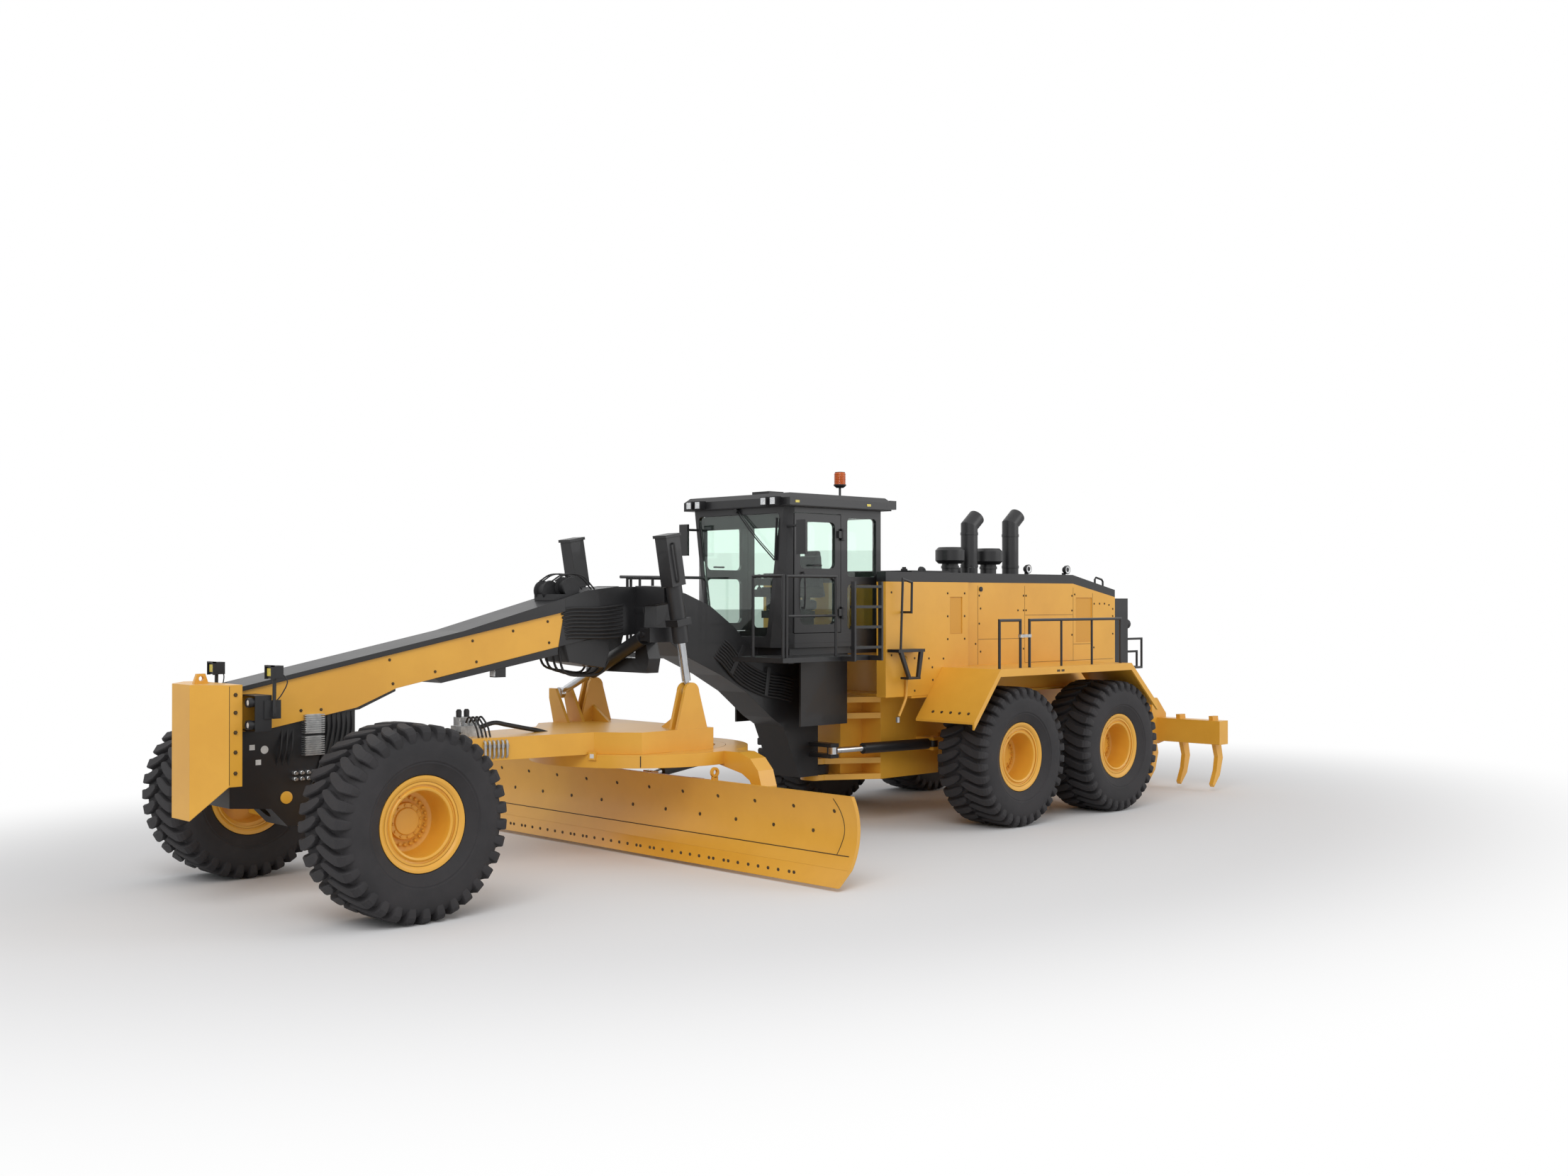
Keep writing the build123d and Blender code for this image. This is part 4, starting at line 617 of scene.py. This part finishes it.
# a known fault: the cutting_edge node's top is 0.2 m up, below edgeZ, so these heads miss it and hang
# at startY, about 0.7 m ahead of the blade; moldboard is the node that edgeZ would meet
makePiece("edgeBolts", "blade", boltsAndPaintedShade,
          studs("cutting_edge", [(x, startY, edgeZ) for x in edgeX], forward, 0.014, 0.005))
# a dark line of painted shade along the gap above the cutting edge
seamX = np.linspace(-bladePlan["seamX"], bladePlan["seamX"], 15)
edgeLine = landed("moldboard", [(x, startY, bladePlan["seamZ"]) for x in seamX], forward)
makePiece("edgeGapShade", "blade", boltsAndPaintedShade, hose([point for point, normal in edgeLine], 0.006, 1, 6))
# dark lines of painted shade along the edges of the end wear plates
plateLine = [(3.37, 0.93), (3.43, 0.80), (3.465, 0.66), (3.465, 0.55), (3.43, 0.42), (3.405, 0.34)]
for sideName, way in (("left", 1), ("right", -1)):
    seam = landed("moldboard", [(way * x, startY, z) for x, z in plateLine], forward)
    makePiece("wearGapShade_" + sideName, "blade", boltsAndPaintedShade,
              hose([point for point, normal in seam], 0.005, 4, 6))
makePiece("bladeEye", "blade", yellowEnamel,
          turned([(-0.016, 0.030), (-0.016, 0.058), (0.016, 0.058), (0.016, 0.030)], (1.39, 4.25, 1.045),
                 28, caps=False), box((1.374, 1.406), (4.21, 4.29), (0.94, 0.995)))

# the hood and tank module: bolts, dark strips of painted shade along the door seams, vents, cap, work lamps,
# handle, drain pipe, top boxes
tankBolts = [(y, z) for y in (8.70, 9.06) for z in (3.11, 2.80, 2.49)] + [
    (8.02, 2.25), (8.31, 2.24), (8.61, 2.23), (8.38, 2.12), (8.39, 1.95), (8.02, 1.82), (7.56, 3.12),
    (7.56, 2.3)]
hoodBolts = [(9.49, 3.08), (10.50, 3.08), (10.50, 2.87), (10.37, 2.87), (9.49, 2.69), (9.41, 2.41),
             (10.50, 2.52), (10.50, 2.32), (11.68, 3.08), (11.68, 2.86), (11.75, 3.10), (12.25, 2.96),
             (12.39, 2.96), (12.52, 2.96), (12.64, 2.94), (12.74, 2.88), (12.74, 2.77), (10.56, 3.08),
             (10.56, 2.87), (9.52, 2.9), (11.68, 2.5), (12.24, 2.3), (12.74, 2.5), (9.52, 2.3)]
hoodGapShade = [((9.46, 3.22), (9.46, 2.12)), ((10.53, 3.22), (10.53, 2.12)), ((11.71, 3.20), (11.71, 2.12)),
             ((12.21, 3.12), (12.21, 2.12)), ((10.54, 2.80), (11.70, 2.80)), ((9.47, 2.47), (10.52, 2.47)),
             ((11.72, 2.36), (12.20, 2.36)), ((10.54, 2.12), (12.75, 2.12))]
for sideName, way, towards in (("left", 1, left), ("right", -1, right)):
    makePiece("hoodBolts_" + sideName, "rear_frame", boltsAndPaintedShade,
              studs("hood", [(way * 1.3, y, z) for y, z in tankBolts + hoodBolts], towards, 0.012, 0.008))
    makePiece("fenderBolts_" + sideName, "rear_frame", boltsAndPaintedShade,
              studs("fenders", [(way * x, 7.6, 1.55) for x in (1.38, 1.53, 1.68, 1.83, 1.98)], forward,
                    0.017, 0.012))
# dark strips laid along the hood's door seams: painted shade of the gaps between its panels
makePiece("hoodGapShade", "rear_frame", boltsAndPaintedShade,
          *[bar((1.0602, *a), (1.0602, *b), 0.005, 0.0025, (1, 0, 0)) for a, b in hoodGapShade], both=True)
makePiece("ventMesh", "rear_frame", perforatedSteel, box((1.13, 1.1385), (8.755, 9.005), (2.565, 3.055)),
          box((1.04, 1.0485), (11.785, 12.185), (2.395, 3.045)), both=True)
makePiece("fillerCap", "rear_frame", blackPolyamide,
          turned([(1.055, 0.001), (1.055, 0.034), (1.075, 0.034), (1.08, 0.022), (1.08, 0.001)],
                 (0, 9.52, 3.17), 20), both=True)
workLamp = [(-0.05, 0.015), (-0.045, 0.04), (-0.01, 0.062), (0.03, 0.066), (0.034, 0.060), (0.028, 0.055),
            (0.028, 0.001)]
workLamps = [turned(workLamp, (1.0, y, 3.465), 22) for y in (10.67, 11.62)]
makePiece("workLamps", "rear_frame", blackPolyamide, *workLamps,
          *[box((0.97, 1.0), (y - 0.03, y + 0.03), (3.36, 3.42)) for y in (10.67, 11.58)], both=True)
makePiece("workLenses", "rear_frame", clearLens,
          *[turned([(0.024, 0.001), (0.03, 0.05), (0.032, 0.055), (0.024, 0.055)], (1.0, y, 3.465), 22)
            for y in (10.67, 11.62)], both=True)
makePiece("hoodHandle", "rear_frame", blackEnamel,
          hose([(0.9, 12.50, 3.17), (0.9, 12.50, 3.33), (0.9, 12.53, 3.36), (0.9, 12.68, 3.33),
                (0.9, 12.71, 3.30), (0.9, 12.71, 3.12)], 0.016, 1), both=True)
makePiece("drainPipe", "rear_frame", yellowEnamel,
          hose([(1.14, 7.83, 2.27), (1.172, 7.83, 2.22), (1.172, 7.83, 1.80), (1.172, 7.78, 1.66),
                (1.172, 7.68, 1.50)], 0.019, 4))
makePiece("drainPlug", "rear_frame", zincPlate,
          turned([(-0.04, 0.001), (-0.04, 0.026), (0.03, 0.028), (0.03, 0.001)], (1.172, 7.66, 1.46), 6,
                 "Z"))
makePiece("tailLamps", "rear_frame", blackPolyamide,
          turned([(0.0, 0.03), (0.0, 0.05), (0.10, 0.075), (0.16, 0.075), (0.16, 0.062), (0.15, 0.001)],
                 (0.92, 13.17, 2.64), 22, "Y"), both=True)
topBits = [turned([(0, 0.05), (0.09, 0.05), (0.10, 0.03), (0.12, 0.03), (0.12, 0.001)], (x, y, 3.385), 18,
                  "Z") for x, y in ((0.75, 9.72), (0.62, 9.86), (-0.6, 9.8))]
makePiece("topCaps", "rear_frame", blackPolyamide, *topBits, box((-0.85, 0.85), (8.3, 9.1), (3.385, 3.42)))
bandPlaces = [(10.58, 3.52), (10.58, 4.0), (11.57, 3.52), (11.57, 4.0), (10.135, 3.5), (11.03, 3.5)]
bands = [turned([(-0.02, 0.118), (-0.02, 0.132), (0.02, 0.132), (0.02, 0.118)], (0, y, z), 32, "Z",
                caps=False) for y, z in bandPlaces]
makePiece("stackBands", "rear_frame", blackEnamel, *bands)
makePiece("railClamps", "rear_frame", zincPlate, box((2.01, 2.05), (9.13, 9.37), (2.52, 2.56)), both=True)
# two dark patches on each fender: painted shade of holes through it
makePiece("fenderHoleShade", "rear_frame", boltsAndPaintedShade,
          *[box((2.1385, 2.1415), (y, y + 0.07), (2.045, 2.075)) for y in (9.82, 9.92)], both=True)

# the cab: visor band, wiper, door handles, lamp lenses, reflectors, beacon, mirrors, levers and display
makePiece("visorBand", "front_frame", blackPolyamide, box((-0.70, 0.70), (5.962, 5.966), (3.93, 4.13)))
makePiece("wiperArm", "front_frame", hoseRubber,
          hose([(-0.02, 5.888, 4.16), (0.34, 5.86, 3.83), (0.70, 5.872, 3.52)], 0.009, 4),
          hose([(0.02, 5.888, 4.16), (0.38, 5.858, 3.83), (0.72, 5.872, 3.54)], 0.006, 4),
          bar((0.735, 5.882, 4.05), (0.705, 5.882, 3.52), 0.012, 0.03, (0, 1, 0)),
          turned([(-0.03, 0.001), (-0.03, 0.03), (0.02, 0.03), (0.02, 0.001)], (0.0, 5.88, 4.16), 16, "Y"))
for sideName, way in (("left", 1), ("right", -1)):
    handle = hose([(0.895, 6.33, 3.46), (0.935, 6.33, 3.46), (0.94, 6.40, 3.46), (0.935, 6.47, 3.46),
                   (0.895, 6.47, 3.46)], 0.012, 3)
    rail = hose([(0.895, 6.16, 3.36), (0.94, 6.17, 3.34), (0.94, 6.17, 2.95), (0.895, 6.16, 2.93)], 0.012,
                3)
    shapes = [handle, rail] if way > 0 else [other(handle), other(rail)]
    makePiece("doorHandle_" + sideName, "door_" + sideName, blackPolyamide, *shapes)
roofLens = [box((x - 0.042, x + 0.042), (5.748, 5.758), (4.213, 4.297)) for x in (0.62, 0.79)]
makePiece("roofLenses", "front_frame", clearLens, *roofLens, both=True)
makePiece("roofBezels", "front_frame", blackPolyamide,
          *[hose([(x - 0.05, 5.752, 4.205), (x + 0.05, 5.752, 4.205), (x + 0.05, 5.752, 4.305),
                  (x - 0.05, 5.752, 4.305), (x - 0.05, 5.752, 4.205)], 0.007, 1, 6) for x in (0.62, 0.79)],
          both=True)
makePiece("roofReflectors", "front_frame", yellowLens,
          *[box((0.998, 1.004), (y - 0.035, y + 0.035), (4.235, 4.265)) for y in (5.98, 7.29)], both=True)
ribs = [(0.0, 0.0), (0.0, 0.074)]
for k in range(7):
    ribs += [(0.006 + 0.022 * k, 0.074), (0.012 + 0.022 * k, 0.0775), (0.020 + 0.022 * k, 0.0775),
             (0.026 + 0.022 * k, 0.074)]
ribs += [(0.168, 0.072), (0.178, 0.060), (0.183, 0.03), (0.184, 0.001)]
makePiece("beaconDome", "front_frame", amberLens,
          turned([(a, max(r, 0.001)) for a, r in ribs], (0.30, 7.48, 4.552), 32, "Z"))
makePiece("beaconBase", "front_frame", blackPolyamide,
          turned([(-0.03, 0.02), (-0.03, 0.05), (0.0, 0.085), (0.014, 0.085), (0.014, 0.03)],
                 (0.30, 7.48, 4.55), 28, "Z"))
makePiece("mirrorGlasses", "front_frame", chromedSteel, box((1.285, 1.415), (5.7245, 5.7275), (3.60, 3.98)),
          box((-0.895, -0.765), (5.7245, 5.7275), (3.62, 3.99)))
lever = [(0, 0.001), (0, 0.035), (0.02, 0.03), (0.04, 0.012), (0.09, 0.012), (0.11, 0.024), (0.17, 0.028),
         (0.20, 0.02), (0.205, 0.001)]
makePiece("cabLevers", "front_frame", blackPolyamide,
          *[turned(lever, (way * 0.335, 6.60, 3.158), 16, "Z") for way in (-1, 1)],
          box((0.50, 0.54), (6.02, 6.20), (3.05, 3.32)), box((0.44, 0.60), (6.06, 6.10), (2.47, 3.10)),
          *[box((way * 0.335 - 0.06, way * 0.335 + 0.06), (6.70, 7.04), (3.155, 3.19)) for way in (-1, 1)])
makePiece("roofEdgeBead", "front_frame", hoseRubber,
          *[hose(line, 0.008, 1, 6) for line in ([(-0.99, 5.852, 4.20), (0.99, 5.852, 4.20)],
                                                 [(0.998, 5.86, 4.20), (0.998, 7.72, 4.20)],
                                                 [(-0.998, 5.86, 4.20), (-0.998, 7.72, 4.20)])])
print("trim made")


padPlan = {"inset": 0.016, "voxel": 0.02, "pressure": 4.0, "frames": 20, "most": 0.014, "fill": 0.6}


def cushioned(name, size, centre, lean):
    # a foam block blown up by the Cloth solver by no more than "most" anywhere, then smoothed once
    mesh = bpy.data.meshes.new(name + "Block")
    work = bmesh.new()
    bmesh.ops.create_cube(work, size=1.0)
    bmesh.ops.scale(work, vec=np.array(size) - padPlan["inset"], verts=work.verts)
    work.to_mesh(mesh)
    work.free()
    piece = bpy.data.objects.new(name, mesh)
    scene.collection.objects.link(piece)
    remesh = piece.modifiers.new("remesh", "REMESH")
    remesh.mode, remesh.voxel_size = "VOXEL", padPlan["voxel"]
    graph = bpy.context.evaluated_depsgraph_get()
    piece.data = bpy.data.meshes.new_from_object(piece.evaluated_get(graph))
    piece.modifiers.clear()
    start = np.empty(len(piece.data.vertices) * 3)
    piece.data.vertices.foreach_get("co", start)
    cloth = piece.modifiers.new("cloth", "CLOTH")
    cloth.settings.use_pressure, cloth.settings.uniform_pressure_force = True, padPlan["pressure"]
    cloth.settings.effector_weights.gravity = 0.0
    cloth.point_cache.frame_start, cloth.point_cache.frame_end = 1, padPlan["frames"]
    for step in range(1, padPlan["frames"] + 1):
        scene.frame_set(step)
    graph = bpy.context.evaluated_depsgraph_get()
    blown = bpy.data.meshes.new_from_object(piece.evaluated_get(graph))
    piece.modifiers.clear()
    ends = np.empty(len(blown.vertices) * 3)
    blown.vertices.foreach_get("co", ends)
    move = (ends - start).reshape(-1, 3)
    length = np.linalg.norm(move, axis=1)[:, None]
    share = np.minimum(1, padPlan["most"] / np.maximum(length, 1e-9))
    start = (start.reshape(-1, 3) + move * share).ravel()
    scene.frame_set(1)
    points = start.reshape(-1, 3)
    c, s = math.cos(math.radians(lean)), math.sin(math.radians(lean))
    points = points @ np.array([(1, 0, 0), (0, c, -s), (0, s, c)]).T + np.array(centre) + axleShift
    piece.data.vertices.foreach_set("co", points.ravel())
    piece.data.polygons.foreach_set("use_smooth", np.ones(len(piece.data.polygons), bool))
    piece.data.materials.clear()
    piece.data.materials.append(seatCloth)
    soft = piece.modifiers.new("soft", "SUBSURF")
    soft.levels = soft.render_levels = 1
    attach(piece, "front_frame")
    return piece


cushion = cushioned("seatCushion", (0.50, 0.50, 0.135), (0, 6.87, 2.951), 0)
cushioned("seatBack", (0.48, 0.12, 0.60), (0, 7.19, 3.33), 8)
cushioned("seatHeadRest", (0.28, 0.09, 0.17), (0, 7.262, 3.60), 8)
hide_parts("seat")
print("seat made")

finishes = {
    yellowEnamel: ("boom", "front_axle", "knuckle_left", "knuckle_right", "tie_rod", "drawbar", "circle",
                   "blade_carrier", "moldboard", "cutting_edge", "rear_frame", "tandems", "hood", "fenders",
                   "ripper", "ripper_low_links", "ripper_high_links"),
    chromedSteel: ("shift_rod", "tip_rod", "ripper_rods", "lift_rod_left", "lift_rod_right", "bend_rod_left",
                   "bend_rod_right"),
    cabGlass: ("cab_glass", "door_glass_left", "door_glass_right"),
}
finishOf = {node: material for material, names in finishes.items() for node in names}
for nodeName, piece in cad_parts.items():
    if not nodeName.startswith(("tyre_", "rim_", "seat")):
        for slot in piece.material_slots:
            slot.material = finishOf.get(nodeName, blackEnamel)
print("frame nodes painted")

# the studio: a pale floor that turns to plain white with distance, seen so by the camera only
studio = {"floor": "#E9E9EA", "reach": 300, "squash": (1.0, 0.62, 0.0), "fade": (5.5, 10.5),
          "ambient": 0.62, "key": ((14, -18, 18), (0, -1, 1.5), 14, 2300.0),
          "fill": ((18, 14, 10), (0, 0, 1.5), 12, 900.0)}
reach = studio["reach"]
floorMesh = bpy.data.meshes.new("studioFloor")
floorMesh.from_pydata([(-reach, -reach, 0), (reach, -reach, 0), (reach, reach, 0), (-reach, reach, 0)], [],
                      [(0, 1, 2, 3)])
floor = bpy.data.objects.new("studioFloor", floorMesh)
scene.collection.objects.link(floor)
floorPaint, tree, shader = newMaterial("matStudioFloor", studio["floor"], 0.95, Specular_IOR_Level=0.0)
place = addNode(tree, "ShaderNodeTexCoord")
flat = addNode(tree, "ShaderNodeVectorMath", {"operation": "MULTIPLY", 1: studio["squash"]},
               {0: place.outputs["Object"]})
distance = addNode(tree, "ShaderNodeVectorMath", {"operation": "LENGTH"}, {0: flat.outputs["Vector"]})
fade = addNode(tree, "ShaderNodeMapRange",
               {"interpolation_type": "SMOOTHSTEP", 1: studio["fade"][0], 2: studio["fade"][1]},
               {0: distance.outputs["Value"]})
rays = addNode(tree, "ShaderNodeLightPath")
amount = addNode(tree, "ShaderNodeMath", {"operation": "MULTIPLY"},
                 {0: fade.outputs["Result"], 1: rays.outputs["Is Camera Ray"]})
plainWhite = addNode(tree, "ShaderNodeEmission", {"Color": (1, 1, 1, 1), "Strength": 1.0})
blend = addNode(tree, "ShaderNodeMixShader", links={0: amount.outputs["Value"], 1: shader.outputs["BSDF"],
                                                    2: plainWhite.outputs["Emission"]})
tree.links.new(blend.outputs["Shader"], tree.nodes["Material Output"].inputs["Surface"])
floorMesh.materials.append(floorPaint)

world = bpy.data.worlds.new("studioWorld")
scene.world = world
world.use_nodes = True
tree = world.node_tree
tree.nodes.clear()
rays = addNode(tree, "ShaderNodeLightPath")
seen = addNode(tree, "ShaderNodeMath", {"operation": "MAXIMUM"},
               {0: rays.outputs["Is Camera Ray"], 1: rays.outputs["Is Glossy Ray"]})
through = addNode(tree, "ShaderNodeMath", {"operation": "MAXIMUM"},
                  {0: seen.outputs["Value"], 1: rays.outputs["Is Transmission Ray"]})
plain = addNode(tree, "ShaderNodeBackground", {"Color": (1, 1, 1, 1), "Strength": studio["ambient"]})
shown = addNode(tree, "ShaderNodeBackground", {"Color": (1, 1, 1, 1), "Strength": 1.0})
mix = addNode(tree, "ShaderNodeMixShader", links={0: through.outputs["Value"],
                                                  1: plain.outputs["Background"],
                                                  2: shown.outputs["Background"]})
addNode(tree, "ShaderNodeOutputWorld", links={"Surface": mix.outputs["Shader"]})


def areaLight(name, place, aim, size, watts):
    light = bpy.data.lights.new(name, "AREA")
    light.energy, light.size = watts, size
    lamp = bpy.data.objects.new(name, light)
    scene.collection.objects.link(lamp)
    lamp.location = place
    lamp.rotation_euler = (Vector(aim) - Vector(place)).to_track_quat("-Z", "Y").to_euler()


areaLight("keySoftbox", *studio["key"])
areaLight("fillSoftbox", *studio["fill"])

# the photograph's viewpoint, solved from the machine's own sizes
view = {"place": (15.1585, -14.757, 3.0466), "azimuth": 45.594, "pitch": 0.3556, "focalPixels": 2270.23,
        "widthPixels": 2212, "sensor": 36.0}
camera = bpy.data.cameras.new("photoCamera")
camera.sensor_width = view["sensor"]
camera.sensor_fit = "HORIZONTAL"
camera.lens = view["focalPixels"] / view["widthPixels"] * view["sensor"]
camera.clip_end = 500
viewer = bpy.data.objects.new("photoCamera", camera)
scene.collection.objects.link(viewer)
turn, tip = math.radians(view["azimuth"]), math.radians(view["pitch"])
sight = Vector((-math.sin(turn) * math.cos(tip), math.cos(turn) * math.cos(tip), math.sin(tip)))
viewer.location = view["place"]
viewer.rotation_euler = sight.to_track_quat("-Z", "Y").to_euler()
scene.camera = viewer
scene.view_settings.view_transform = "Standard"
print("studio and camera set")
